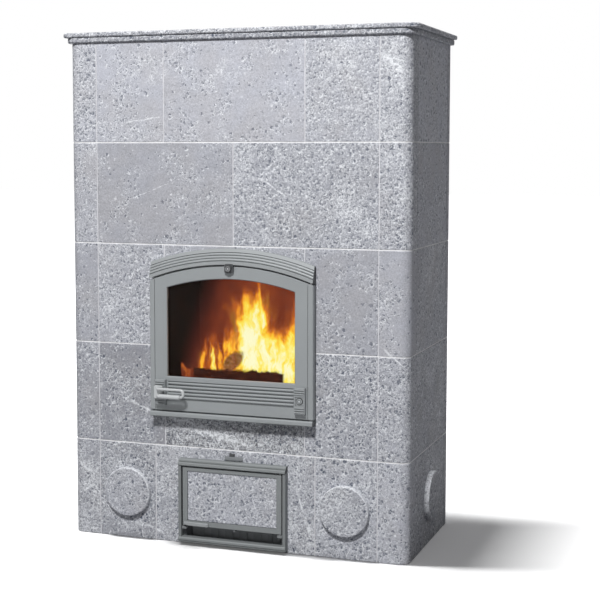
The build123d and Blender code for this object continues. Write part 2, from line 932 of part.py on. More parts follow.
def bracket(side, height):
    """An angle that clamps the frame's sleeve to the back of the stone."""
    inner = sleeve_half_width - sleeve_wall
    x_leg = sorted((side * (inner - bracket_thickness), side * inner))
    x_foot = sorted((side * (inner - bracket_thickness), side * (inner + bracket_leg)))
    z_span = (height - bracket_width / 2, height + bracket_width / 2)
    foot = (front_inner, front_inner + bracket_thickness)
    with BuildPart() as angle:
        add(block(x_leg, (front_inner - bracket_leg, front_inner), z_span))
        add(block(x_foot, foot, z_span))
    return angle.part


with BuildPart() as frame_brackets:
    add([bracket(side, height) for side in (-1, 1) for height in bracket_heights])

# ---------------------------------------------------------------- fire door leaf
boss_front = leaf_front - leaf_wall
gasket_middle = door_half_width - gasket_inset
gasket_outer = arch(
    gasket_middle + gasket_width / 2,
    door_bottom + gasket_inset - gasket_width / 2,
    leaf_radius - gasket_inset + gasket_width / 2,
)
gasket_inner = arch(
    gasket_middle - gasket_width / 2,
    door_bottom + gasket_inset + gasket_width / 2,
    leaf_radius - gasket_inset - gasket_width / 2,
)
gasket_back = frame_flange + gasket_gap
gasket_front = gasket_back + gasket_height

def clip_plane(x, z, turn):
    """Plane across a glass clip: x out of the front, y away from the pane."""
    return Plane(origin=(x, front_y, z), x_dir=(0, -1, 0), z_dir=turn)


def glass_clip(place):
    """A stepped clip: its toe lies on the pane's edge, its foot on the leaf."""
    toe = glass_back - clip_thickness
    with BuildPart() as clip:
        with BuildSketch(clip_plane(*place)):
            with BuildLine():
                Polyline(
                    (toe, -clip_reach),
                    (toe, clip_play + clip_thickness),
                    (boss_front - clip_thickness, clip_play + clip_thickness),
                    (boss_front - clip_thickness, clip_foot),
                    (boss_front, clip_foot),
                    (boss_front, clip_play),
                    (glass_back, clip_play),
                    (glass_back, -clip_reach),
                    close=True,
                )
            make_face()
        extrude(amount=clip_width / 2, both=True)
    return clip.part


def clip_screw(place):
    """A pan head screw through a clip's foot into the leaf."""
    plane = clip_plane(*place)
    middle = clip_play + clip_thickness + (clip_foot - clip_play - clip_thickness) / 2
    start = plane.from_local_coords((boss_front - clip_thickness - clip_head_height, middle, 0))
    head = round_bar(clip_screw_head, start, (0, -1, 0), clip_head_height)
    reach = clip_head_height + clip_thickness + clip_screw_length
    shank = round_bar(clip_screw_radius, start, (0, -1, 0), reach)
    with BuildPart() as screw:
        add(head)
        add(shank)
    return screw.part


clip_places = []
for clip_level in clip_levels:
    for side in (-1, 1):
        pane_edge = side * (glass_half_width + glass_side_overlap)
        clip_places.append((pane_edge, clip_level, (0, 0, side)))
for clip_x in (-clip_bottom_x, clip_bottom_x):
    clip_places.append((clip_x, glass_bottom - glass_side_overlap, (1, 0, 0)))
screws = [clip_screw(place) for place in clip_places]

with BuildPart() as clip_screws:
    add(screws)

with BuildPart() as glass_clips:
    add([glass_clip(place) for place in clip_places])
    add(screws, mode=Mode.SUBTRACT)

with BuildPart() as fire_door_leaf:
    add(front_slab(arch(door_half_width, door_bottom, leaf_radius), leaf_back, leaf_front))
    chamfer(fire_door_leaf.faces().sort_by(Axis.Y)[0].edges(), leaf_edge)
    glass_opening = arch(glass_half_width, glass_bottom, glass_arch_radius)
    add(front_slab(glass_opening, leaf_back, leaf_front), mode=Mode.SUBTRACT)
    window = fire_door_leaf.faces().sort_by(Axis.Y)[0].inner_wires()
    chamfer(window.edges(), leaf_edge)
    pocket = arch(pocket_half_width, pocket_bottom, pocket_radius)
    add(front_slab(pocket, leaf_back, leaf_back + pocket_depth), mode=Mode.SUBTRACT)
    groove = front_slab(gasket_outer, leaf_back, gasket_front, (gasket_inner,))
    add(groove, mode=Mode.SUBTRACT)
    for side in (-1, 1):
        x_span = sorted((side * (groove_half_width - groove_width), side * groove_half_width))
        line = rectangle(x_span, (door_bottom, arch_centre + leaf_radius))
        cut = front_slab(line, leaf_front - groove_depth, leaf_front)
        add(cut, mode=Mode.SUBTRACT)
    panel = rectangle(
        (-rib_panel_half_width, rib_panel_half_width), (rib_panel_bottom, rib_panel_top)
    )
    add(front_slab(panel, leaf_front - rib_panel_depth, leaf_front), mode=Mode.SUBTRACT)
    for rib in range(rib_count):
        rib_base = (
            -rib_panel_half_width,
            front_y - leaf_front + rib_panel_depth,
            rib_first + rib * rib_pitch,
        )
        add(round_bar(rib_radius, rib_base, (1, 0, 0), 2 * rib_panel_half_width))
    boss = round_bar(
        boss_radius,
        (shaft_x, front_y - leaf_back, shaft_height),
        (0, -1, 0),
        pocket_depth,
    )
    add(boss)
    shaft_hole = round_bar(
        shaft_radius + shaft_play,
        (shaft_x, front_y, shaft_height),
        (0, -1, 0),
        leaf_front + 1,
    )
    add(shaft_hole, mode=Mode.SUBTRACT)
    for level in (door_bottom, leaf_top_at_hinge):
        with Locations((hinge_x, hinge_y, level)):
            Cylinder(
                hinge_pin_radius + hinge_pin_play, 2 * hinge_pin_bite + 2, mode=Mode.SUBTRACT
            )
    add(screws, mode=Mode.SUBTRACT)
    for index in range(shutter_windows):
        along = (index - (shutter_windows - 1) / 2) * shutter_pitch
        angle = degrees(asin(along / leaf_radius))
        with BuildSketch(arch_plane(angle)):
            with Locations(
                (
                    (air_slot_back + air_slot_front) / 2,
                    (pocket_radius + leaf_radius) / 2,
                )
            ):
                Rectangle(air_slot_front - air_slot_back, leaf_radius - pocket_radius + 4)
        extrude(amount=shutter_window / 2, both=True, mode=Mode.SUBTRACT)

with BuildPart() as fire_door_gasket:
    add(front_slab(gasket_outer, gasket_back, gasket_front, (gasket_inner,)))

pane = arch(
    glass_half_width + glass_side_overlap,
    glass_bottom - glass_side_overlap,
    glass_arch_radius + glass_overlap,
)
with BuildPart() as fire_door_glass:
    add(front_slab(pane, glass_back, glass_front))

with BuildPart() as glass_gasket:
    add(front_slab(pane, glass_front, glass_front + glass_seal, (glass_opening,)))


# ---------------------------------------------------------------- corner blocks of the leaf
def corner_block(middle):
    """A raised block with level ridges above and below its plain middle."""
    x_span = (middle - block_half_width, middle + block_half_width)
    outline = rectangle(x_span, (block_bottom, block_bottom + block_height))
    block_middle = block_bottom + block_height / 2
    with BuildPart() as raised:
        add(front_slab(outline, leaf_front, leaf_front + block_depth))
        chamfer(raised.faces().sort_by(Axis.Y)[0].edges(), block_chamfer)
        for level in block_ridges:
            for way in (-1, 1):
                ridge_base = (
                    x_span[0] + block_chamfer,
                    front_y - leaf_front - block_depth,
                    block_middle + way * level,
                )
                ridge_length = 2 * (block_half_width - block_chamfer)
                add(round_bar(block_ridge_radius, ridge_base, (1, 0, 0), ridge_length))
    return raised.part


with BuildPart() as hinge_block:
    add(corner_block(block_x))
    block_face = leaf_front + block_depth
    block_middle = block_bottom + block_height / 2
    with BuildSketch(facing(block_face)):
        with Locations((block_x, block_middle)):
            Rectangle(block_panel, block_panel)
    extrude(amount=-block_panel_depth, mode=Mode.SUBTRACT)
    with BuildSketch(facing(block_face - block_panel_depth)):
        with Locations((block_x, block_middle)):
            Circle(button_radius)
    extrude(amount=button_height)
    rims = hinge_block.edges().filter_by(GeomType.CIRCLE).group_by(SortBy.RADIUS)[-1]
    chamfer(rims.sort_by(Axis.Y)[0], button_height / 3)

with BuildPart() as handle_block:
    add(corner_block(-block_x))
    shaft_start = (shaft_x, front_y, shaft_height)
    bore = round_bar(shaft_radius + shaft_play, shaft_start, (0, -1, 0), 2 * block_face)
    add(bore, mode=Mode.SUBTRACT)

# ---------------------------------------------------------------- fire door handle
collar_back = block_face + seat_gap
hub_back = block_face + block_ridge_radius + hub_gap
hub_front = hub_back + hub_thickness
shaft_end = -tongue_gap - tongue_thickness
bar_high = shaft_height + loop_pitch / 2
bar_low = shaft_height - loop_pitch / 2
bar_right = loop_right - loop_bar_radius
root_y = front_y - hub_front + loop_root
bar_y = front_y - loop_out

with BuildPart() as fire_door_handle:
    hub_x = loop_left
    hub_outline = rectangle(
        (hub_x - hub_width / 2, hub_x + hub_width / 2),
        (shaft_height - hub_height / 2, shaft_height + hub_height / 2),
    )
    add(front_slab(hub_outline, hub_back, hub_front))
    fillet(fire_door_handle.edges().filter_by(Axis.Y), hub_rounding)
    chamfer(fire_door_handle.faces().sort_by(Axis.Y)[0].edges(), 1)
    hub_ring = (shaft_x, front_y - collar_back, shaft_height)
    add(round_bar(hub_collar_radius, hub_ring, (0, -1, 0), hub_back - collar_back))
    shaft_base = (shaft_x, front_y - shaft_end, shaft_height)
    add(round_bar(shaft_radius, shaft_base, (0, -1, 0), hub_back - shaft_end))
    with BuildLine() as loop_path:
        FilletPolyline(
            (loop_left, root_y, bar_high),
            (loop_left, bar_y, bar_high),
            (bar_right, bar_y, bar_high),
            (bar_right, bar_y, bar_low),
            (loop_left, bar_y, bar_low),
            (loop_left, root_y, bar_low),
            radius=[loop_bend, loop_pitch / 2 - 0.1, loop_pitch / 2 - 0.1, loop_bend],
        )
    with BuildSketch(Plane(origin=loop_path.line @ 0, z_dir=loop_path.line % 0)):
        Circle(loop_bar_radius)
    sweep(path=loop_path.line)
    grip_base = (loop_left + loop_bend + 1, bar_y, bar_low)
    add(round_bar(grip_radius, grip_base, (1, 0, 0), grip_length))

with BuildPart() as fire_door_latch:
    tongue = rectangle(
        (shaft_x - tongue_reach, shaft_x + tongue_height),
        (shaft_height - tongue_height / 2, shaft_height + tongue_height / 2),
    )
    add(front_slab(tongue, shaft_end, -tongue_gap))
    root_start = (shaft_x, front_y - shaft_end, shaft_height)
    add(round_bar(tongue_root_radius, root_start, (0, -1, 0), tongue_thickness))
    add(
        round_bar(shaft_radius + latch_fit, root_start, (0, -1, 0), tongue_thickness),
        mode=Mode.SUBTRACT,
    )

# ---------------------------------------------------------------- air shutter
shutter_inner = leaf_radius + shutter_seat
shutter_outer = shutter_inner + shutter_thickness
tab_back = hood_front + tab_gap
tab_front = tab_back + tab_thickness

with BuildPart() as airwash_shutter:
    with BuildSketch(arch_plane(-shutter_angle)):
        with Locations(((leaf_back + leaf_front) / 2, (shutter_inner + shutter_outer) / 2)):
            Rectangle(leaf_depth - 2 * shutter_margin, shutter_thickness)
    revolve(axis=arch_axis, revolution_arc=2 * shutter_angle)
    for index in range(shutter_windows):
        along = (index - (shutter_windows - 1) / 2) * shutter_pitch
        angle = degrees(asin(along / leaf_radius))
        with BuildSketch(arch_plane(angle)):
            with Locations(((air_slot_back + air_slot_front) / 2, shutter_outer)):
                Rectangle(air_slot_front - air_slot_back, 4 * shutter_thickness)
        extrude(amount=shutter_window / 2, both=True, mode=Mode.SUBTRACT)
    tongue_half = shutter_tongue_width / 2
    tongue_angle = degrees(asin(tongue_half / shutter_inner))
    with BuildSketch(arch_plane(-tongue_angle)):
        with Locations(
            (
                (leaf_front - shutter_margin - 1 + tab_front) / 2,
                (shutter_inner + shutter_outer) / 2,
            )
        ):
            Rectangle(tab_front - leaf_front + shutter_margin + 1, shutter_thickness)
    revolve(axis=arch_axis, revolution_arc=2 * tongue_angle)
    with BuildSketch(facing(tab_back)):
        with Locations((0, tab_middle)):
            RectangleRounded(tab_width, tab_height, tab_rounding)
    extrude(amount=tab_thickness)

with BuildPart() as airwash_knob:
    with BuildSketch(facing(tab_front)):
        with Locations((0, tab_middle)):
            Circle(knob_neck)
    extrude(amount=knob_neck_length)
    with BuildSketch(facing(tab_front + knob_neck_length)):
        with Locations((0, tab_middle)):
            Circle(knob_radius)
    extrude(amount=knob_length)
    chamfer(airwash_knob.edges().sort_by(Axis.Y)[0], 1.5)

# ---------------------------------------------------------------- ash door frame
ash_hinge_y = front_y - ash_hinge_out
lug_bottom = slot_top - lug_height
ash_lower_span = (slot_top - lug_height - 1, ash_leaf_bottom + ash_pin_bite)
ash_upper_span = (ash_leaf_top - ash_pin_bite, ash_hood_bottom + ash_pin_seat)
ash_lower_pin = pin(ash_pin_radius, ash_hinge_x, ash_hinge_y, ash_lower_span)
ash_upper_pin = pin(ash_pin_radius, ash_hinge_x, ash_hinge_y, ash_upper_span)
ash_sleeve_inner = ash_sleeve_half_width - ash_sleeve_wall
slide_front = -slot_depth - slide_play
slide_back = slide_front - slide_thickness
grille_front = slide_back - slide_play
slide_bottom = ash_sleeve_bottom + ash_sleeve_wall + slide_play
slide_top = slot_top - slide_play
window_low = slide_bottom + air_window_margin
window_high = slot_top - air_knob_drop - air_window_margin / 2


def air_windows(count):
    """A row of windows, in the slide or in the grille behind it."""
    with BuildSketch() as holes:
        with Locations((0, (window_low + window_high) / 2)):
            with GridLocations(air_window_pitch, 1, count, 1):
                Rectangle(air_window_width, window_high - window_low)
    return holes.sketch


with BuildPart() as ash_door_frame:
    outline = rectangle((-ash_half_width, ash_half_width), (ash_frame_bottom, ash_frame_top))
    opening = rectangle(
        (-ash_opening_half_width, ash_opening_half_width), (ash_opening_bottom, ash_opening_top)
    )
    slot = rectangle((-slot_half_width, slot_half_width), (slot_bottom, slot_top))
    ash_gate = rectangle(
        (-ash_gate_end, -ash_opening_half_width + 1), (ash_opening_bottom, ash_gate_top)
    )
    add(front_slab(outline, 0, ash_flange, (opening, slot, ash_gate)))
    sleeve = rectangle(
        (-ash_sleeve_half_width, ash_sleeve_half_width), (ash_sleeve_bottom, ash_sleeve_top)
    )
    upper_duct = rectangle(
        (-ash_sleeve_inner, ash_sleeve_inner),
        (ash_opening_bottom, ash_sleeve_top - ash_sleeve_wall),
    )
    lower_duct = rectangle(
        (-ash_sleeve_inner, ash_sleeve_inner),
        (ash_sleeve_bottom + ash_sleeve_wall, slot_top),
    )
    add(front_slab(sleeve, -front_thickness, 0, (upper_duct, lower_duct)))
    grille_back = grille_front - slide_thickness
    grille_windows = air_windows(air_window_count - 1)
    add(front_slab(lower_duct, grille_back, grille_front, (grille_windows,)))
    for side in (-1, 1):
        upright = rectangle(
            sorted((side * upright_inner, side * ash_half_width)), (ash_sill_top, ash_hood_bottom)
        )
        add(front_slab(upright, ash_flange, upright_front))
        lug = rectangle(
            sorted((side * (ash_hinge_x - lug_half_width), side * (ash_hinge_x + lug_half_width))),
            (lug_bottom, slot_top),
        )
        add(front_slab(lug, ash_flange - 1, lug_front))
        with BuildSketch(Plane.XY.offset(ash_sleeve_bottom + 1)):
            with BuildLine():
                Polyline(
                    (side * (ash_sleeve_inner + 1), front_y + 1),
                    (side * slot_half_width, front_y + 1),
                    (side * (slot_half_width - slot_taper), front_y + slot_depth),
                    (side * (ash_sleeve_inner + 1), front_y + slot_depth),
                    close=True,
                )
            make_face()
        extrude(amount=slot_top - ash_sleeve_bottom)
    add(ash_lower_pin, mode=Mode.SUBTRACT)

with BuildPart() as ash_door_hood:
    step = ash_hood_bottom + ash_hood_step
    with BuildSketch(Plane.YZ.offset(-ash_half_width)):
        with BuildLine():
            Polyline(
                (front_y - ash_flange, ash_hood_bottom),
                (front_y - ash_hood_front + 2, ash_hood_bottom),
                (front_y - ash_hood_front, ash_hood_bottom + 2),
                (front_y - ash_hood_front, step - 2),
                (front_y - ash_hood_front + 2, step),
                (front_y - ash_hood_front + ash_hood_step_back, step),
                (front_y - ash_hood_front + ash_hood_step_back, ash_frame_top - 4),
                (front_y - ash_hood_front + ash_hood_step_back + 4, ash_frame_top),
                (front_y - ash_flange, ash_frame_top),
                close=True,
            )
        make_face()
    extrude(amount=2 * ash_half_width)
    add(ash_upper_pin, mode=Mode.SUBTRACT)

with BuildPart() as ash_door_sill:
    with BuildSketch(Plane.YZ.offset(-ash_half_width)):
        with BuildLine():
            Polyline(
                (front_y - ash_flange, ash_sill_bottom),
                (front_y - ash_sill_front + 3, ash_sill_bottom),
                (front_y - ash_sill_front + 3, ash_sill_bottom + 4),
                (front_y - ash_sill_front, ash_sill_bottom + 6),
                (front_y - ash_sill_front, ash_sill_top - 3),
                (front_y - ash_sill_front + 3, ash_sill_top),
                (front_y - ash_flange, ash_sill_top),
                close=True,
            )
        make_face()
    extrude(amount=2 * ash_half_width)

# ---------------------------------------------------------------- ash door leaf
with BuildPart() as ash_door_leaf:
    outline = rectangle(
        (-ash_leaf_half_width, ash_leaf_half_width), (ash_leaf_bottom, ash_leaf_top)
    )
    add(front_slab(outline, ash_leaf_back, ash_leaf_front))
    chamfer(ash_door_leaf.faces().sort_by(Axis.Y)[0].edges(), 1.2)
    hinge_edges = ash_door_leaf.edges().filter_by(Axis.Z).group_by(Axis.X)[-1]
    chamfer(hinge_edges.sort_by(Axis.Y)[-1], ash_hinge_relief)
    recess = rectangle((-insert_half_width, insert_half_width), (insert_bottom, insert_top))
    add(
        front_slab(recess, ash_leaf_back + ash_back_plate, ash_leaf_front), mode=Mode.SUBTRACT
    )
    with Locations((ash_hinge_x, ash_hinge_y, ash_leaf_bottom), (ash_hinge_x, ash_hinge_y, ash_leaf_top)):
        Cylinder(ash_pin_radius + ash_pin_play, 2 * ash_pin_bite + 2, mode=Mode.SUBTRACT)
    ash_shaft_start = (ash_shaft_x, front_y, ash_shaft_height)
    bore = round_bar(ash_shaft_radius + ash_shaft_play, ash_shaft_start, (0, -1, 0), lever_front)
    add(bore, mode=Mode.SUBTRACT)

with BuildPart() as ash_door_stone:
    insert_outline = rectangle(
        (-insert_half_width + insert_play, insert_half_width - insert_play),
        (insert_bottom + insert_play, insert_top - insert_play),
    )
    add(front_slab(insert_outline, ash_leaf_back + ash_back_plate, insert_front))
    chamfer(ash_door_stone.faces().sort_by(Axis.Y)[0].edges(), 1)

with BuildPart() as ash_door_hinge_pins:
    add(ash_lower_pin)
    add(ash_upper_pin)
    collar_span = (slot_top, ash_leaf_bottom - seat_gap)
    add(pin(ash_collar_radius, ash_hinge_x, ash_hinge_y, collar_span))

ash_shaft_end = -ash_tongue_gap - ash_tongue_thickness

with BuildPart() as ash_door_handle:
    with BuildSketch(facing(lever_back)):
        with BuildLine():
            Polyline(
                (lever_left, lever_bottom + 2),
                (lever_left, lever_top),
                (lever_right, lever_top - 1),
                (lever_right, lever_bottom),
                (ash_shaft_x, lever_bottom),
                close=True,
            )
        make_face()
    extrude(amount=lever_front - lever_back)
    fillet(ash_door_handle.edges().filter_by(Axis.Y), lever_end_rounding / 2)
    chamfer(ash_door_handle.faces().sort_by(Axis.Y)[0].edges(), 1.5)
    lever_base = (ash_shaft_x, front_y - ash_shaft_end, ash_shaft_height)
    add(round_bar(ash_shaft_radius, lever_base, (0, -1, 0), lever_back - ash_shaft_end))

with BuildPart() as ash_door_latch:
    tongue = rectangle(
        (ash_shaft_x - ash_tongue_reach, ash_shaft_x + ash_tongue_height / 2),
        (ash_shaft_height - ash_tongue_height / 2, ash_shaft_height + ash_tongue_height / 2),
    )
    add(front_slab(tongue, ash_shaft_end, -ash_tongue_gap))
    add(round_bar(ash_root_radius, lever_base, (0, -1, 0), ash_tongue_thickness))
    add(
        round_bar(ash_shaft_radius + latch_fit, lever_base, (0, -1, 0), ash_tongue_thickness),
        mode=Mode.SUBTRACT,
    )

# ---------------------------------------------------------------- primary air slide
with BuildPart() as primary_air_slide:
    plate = rectangle((-slide_half_width, slide_half_width), (slide_bottom, slide_top))
    add(front_slab(plate, slide_back, slide_front, (air_windows(air_window_count),)))
    air_knob = (0, front_y - slide_front, slot_top - air_knob_drop)
    add(round_bar(air_knob_radius, air_knob, (0, -1, 0), air_knob_length))

# ---------------------------------------------------------------- ash pan
pan_front = front_y + pan_setback
pan_back = core_front + ash_chamber_length - pan_rear_gap
pan_bottom = runner_top + seat_gap
pan_span = (-pan_half_width, pan_half_width)

with BuildPart() as ash_pan_runners:
    for side in (-1, 1):
        inner = side * (ash_chamber_half_width - runner_width)
        x_span = sorted((inner, side * ash_chamber_half_width))
        y_span = (core_front, core_front + ash_chamber_length)
        add(block(x_span, y_span, (runner_top - runner_height, runner_top)))

with BuildPart() as ash_pan:
    y_span = (pan_front, pan_back)
    add(block(pan_span, y_span, (pan_bottom, pan_bottom + pan_height)))
    offset(amount=-pan_wall, openings=ash_pan.faces().sort_by(Axis.Z)[-1])
    grip_span = (-pan_grip_width / 2, pan_grip_width / 2)
    grip_top = pan_bottom + pan_height - pan_wall
    shelf = (pan_front - pan_grip_reach, pan_front)
    add(block(grip_span, shelf, (grip_top - pan_wall, grip_top)))
    lip = (pan_front - pan_grip_reach, pan_front - pan_grip_reach + pan_wall)
    add(block(grip_span, lip, (grip_top - pan_grip_drop, grip_top)))

# ---------------------------------------------------------------- files
pieces = {
    "left_corner_stones": left_corner_stones,
    "right_corner_stones": right_corner_stones,
    "left_side_stones": left_side_stones,
    "right_side_stones": right_side_stones,
    "back_stones": back_stones,
    "bottom_course_stones": bottom_course_stones,
    "fourth_course_stones": fourth_course_stones,
    "third_course_stones": third_course_stones,
    "second_course_stones": second_course_stones,
    "top_course_stones": top_course_stones,
    "bed_mortar": bed_mortar,
    "joint_mortar": joint_mortar,
    "cornice_lower": cornice_lower,
    "cornice_upper": cornice_upper,
    "base_slab": base_slab,
    "ash_chamber_walls": ash_chamber_walls,
    "core_piers": core_piers,
    "hearth_slab": hearth_slab,
    "grate": grate,
    "firebox_side_linings": firebox_side_linings,
    "firebox_rear_lining": firebox_rear_lining,
    "core_side_walls": core_side_walls,
    "core_rear_wall": core_rear_wall,
    "core_front_wall": core_front_wall,
    "throat_stones": throat_stones,
    "ceiling_slab": ceiling_slab,
    "flue_collar": flue_collar,
    "lintel_bar": lintel_bar,
    "front_left_soot_cover": front_left_soot_cover,
    "front_right_soot_cover": front_right_soot_cover,
    "left_side_soot_cover": left_side_soot_cover,
    "right_side_soot_cover": right_side_soot_cover,
    "fire_door_frame": fire_door_frame,
    "fire_door_hood": fire_door_hood,
    "fire_door_sill": fire_door_sill,
    "frame_brackets": frame_brackets,
    "fire_door_hinge_pins": fire_door_hinge_pins,
    "fire_door_leaf": fire_door_leaf,
    "fire_door_gasket": fire_door_gasket,
    "fire_door_glass": fire_door_glass,
    "glass_gasket": glass_gasket,
    "glass_clips": glass_clips,
    "clip_screws": clip_screws,
    "hinge_block": hinge_block,
    "handle_block": handle_block,
    "fire_door_handle": fire_door_handle,
    "fire_door_latch": fire_door_latch,
    "airwash_shutter": airwash_shutter,
    "airwash_knob": airwash_knob,
    "ash_door_frame": ash_door_frame,
    "ash_door_hood": ash_door_hood,
    "ash_door_sill": ash_door_sill,
    "ash_door_leaf": ash_door_leaf,
    "ash_door_stone": ash_door_stone,
    "ash_door_hinge_pins": ash_door_hinge_pins,
    "ash_door_handle": ash_door_handle,
    "ash_door_latch": ash_door_latch,
    "primary_air_slide": primary_air_slide,
    "ash_pan_runners": ash_pan_runners,
    "ash_pan": ash_pan,
}

for name, piece in pieces.items():
    piece.part.label = name
    export_step(piece.part, f"parts/{name}.step")
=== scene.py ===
# soapstone stove: finishes, small fittings, fire, light and camera
import json
from math import pi, radians

import bpy
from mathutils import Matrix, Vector

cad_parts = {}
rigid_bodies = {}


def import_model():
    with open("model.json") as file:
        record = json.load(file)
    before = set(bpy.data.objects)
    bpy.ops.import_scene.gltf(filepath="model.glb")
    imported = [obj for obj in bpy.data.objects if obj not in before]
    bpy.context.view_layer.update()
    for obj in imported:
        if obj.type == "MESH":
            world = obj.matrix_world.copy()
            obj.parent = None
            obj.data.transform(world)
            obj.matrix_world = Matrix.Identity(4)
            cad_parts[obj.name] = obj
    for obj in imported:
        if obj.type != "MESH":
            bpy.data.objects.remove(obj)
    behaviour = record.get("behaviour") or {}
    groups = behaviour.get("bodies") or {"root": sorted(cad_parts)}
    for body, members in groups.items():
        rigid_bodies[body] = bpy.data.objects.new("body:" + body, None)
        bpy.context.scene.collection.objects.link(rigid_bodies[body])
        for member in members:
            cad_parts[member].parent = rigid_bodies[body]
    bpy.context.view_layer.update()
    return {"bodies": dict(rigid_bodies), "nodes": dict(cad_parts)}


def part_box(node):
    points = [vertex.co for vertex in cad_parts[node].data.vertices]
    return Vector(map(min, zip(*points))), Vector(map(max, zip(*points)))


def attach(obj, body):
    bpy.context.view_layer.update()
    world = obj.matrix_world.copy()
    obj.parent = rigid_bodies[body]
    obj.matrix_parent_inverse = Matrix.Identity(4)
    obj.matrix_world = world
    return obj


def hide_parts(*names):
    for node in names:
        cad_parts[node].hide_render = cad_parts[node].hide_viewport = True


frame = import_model()
nodes = frame["nodes"]
print("frame loaded,", len(nodes), "nodes")


class Wire:  # one socket of a material, with sums written as in Python
    def __init__(self, tree, socket=None):
        self.tree = tree
        self.socket = socket

    def make(self, kind, settings=None, sockets=None, out=0):
        node = self.tree.nodes.new(kind)
        for name, value in (settings or {}).items():
            if name == "stops":
                ramp = node.color_ramp
                for _ in value[2:]:
                    ramp.elements.new(0.5)
                for stop, (position, colour) in zip(ramp.elements, value):
                    stop.position = position
                    stop.color = colour
            else:
                setattr(node, name, value)
        for name, value in (sockets or {}).items():
            if isinstance(value, Wire):
                self.tree.links.new(value.socket, node.inputs[name])
            else:
                node.inputs[name].default_value = value
        if isinstance(out, tuple):
            return [Wire(self.tree, node.outputs[one]) for one in out]
        return Wire(self.tree, node.outputs[out])

    def sum(self, operation, *values, clamp=False):
        settings = {"operation": operation, "use_clamp": clamp}
        return self.make("ShaderNodeMath", settings, dict(enumerate(values or (self,))))

    def __add__(self, other):
        return self.sum("ADD", self, other)

    def __radd__(self, other):
        return self.sum("ADD", other, self)

    def __sub__(self, other):
        return self.sum("SUBTRACT", self, other)

    def __rsub__(self, other):
        return self.sum("SUBTRACT", other, self)

    def __mul__(self, other):
        return self.sum("MULTIPLY", self, other)

    def __rmul__(self, other):
        return self.sum("MULTIPLY", other, self)

    def __truediv__(self, other):
        return self.sum("DIVIDE", self, other)

    def __pow__(self, other):
        return self.sum("POWER", self, other)

    def above(self, level):
        return self.sum("GREATER_THAN", self, level)

    def clamped(self):
        return self.sum("ADD", self, 0.0, clamp=True)

    def fade(self, start, end):  # 0 before start, 1 after end
        sockets = {"Value": self, "From Min": start, "From Max": end}
        return self.make("ShaderNodeMapRange", {"interpolation_type": "SMOOTHSTEP"}, sockets)

    def parts(self):
        return self.make("ShaderNodeSeparateXYZ", {}, {0: self}, out=(0, 1, 2))

    def shift(self, other):
        return self.make("ShaderNodeVectorMath", {"operation": "ADD"}, {0: self, 1: other})

    def scaled(self, amount):
        return self.make("ShaderNodeVectorMath", {"operation": "SCALE"}, {0: self, "Scale": amount})

    def stretched(self, scale, turn=(0, 0, 0)):
        sockets = {"Vector": self, "Scale": scale, "Rotation": turn}
        return self.make("ShaderNodeMapping", {}, sockets)

    def noise(self, scale, detail=2.0, rough=0.5, twist=0.0):
        sockets = {"Vector": self, "Scale": scale, "Detail": detail}
        sockets.update({"Roughness": rough, "Distortion": twist})
        return self.make("ShaderNodeTexNoise", {}, sockets)

    def noiseVector(self, scale, detail=2.0):
        sockets = {"Vector": self, "Scale": scale, "Detail": detail}
        return self.make("ShaderNodeTexNoise", {}, sockets, out=1)

    def cells(self, scale):  # distance to the cell's middle, its own colour, and the middle
        sockets = {"Vector": self, "Scale": scale}
        return self.make("ShaderNodeTexVoronoi", {}, sockets, out=(0, 1, 2))

    def toward(self, other, way):  # how far self lies from other along a direction
        apart = self.make("ShaderNodeVectorMath", {"operation": "SUBTRACT"}, {0: self, 1: other})
        settings = {"operation": "DOT_PRODUCT"}
        return self.make("ShaderNodeVectorMath", settings, {0: apart, 1: way}, out=1)

    def ridge(self, width):  # 1 where a noise crosses its middle value
        return (1 - (self - 0.5).sum("ABSOLUTE") / width).clamped()

    def ramp(self, *stops):
        return self.make("ShaderNodeValToRGB", {"stops": stops}, {0: self})

    def blend(self, base, top):  # self is the mask
        sockets = {0: self, 6: base, 7: top}
        return self.make("ShaderNodeMix", {"data_type": "RGBA"}, sockets, out=2)

    def bump(self, strength, distance):
        sockets = {"Height": self, "Strength": strength, "Distance": distance}
        return self.make("ShaderNodeBump", {}, sockets)


def tint(r, g, b):  # linear colour
    return (r, g, b, 1)


def deeper(shade, amount):
    return (*(min(1, part * amount) for part in shade[:3]), 1)


def newMaterial(name):  # with the place of each point on Object coordinates, in metres
    material = bpy.data.materials.new(name)
    material.use_nodes = True
    tree = material.node_tree
    tree.nodes.clear()
    place = Wire(tree).make("ShaderNodeTexCoord", {}, {}, out=3)
    return material, place


def finish(material, shader):
    out = material.node_tree.nodes.new("ShaderNodeOutputMaterial")
    material.node_tree.links.new(shader.socket, out.inputs["Surface"])
    return material


def principled(material, place, **sockets):
    names = {key.replace("_", " "): value for key, value in sockets.items()}
    return finish(material, place.make("ShaderNodeBsdfPrincipled", {}, names))


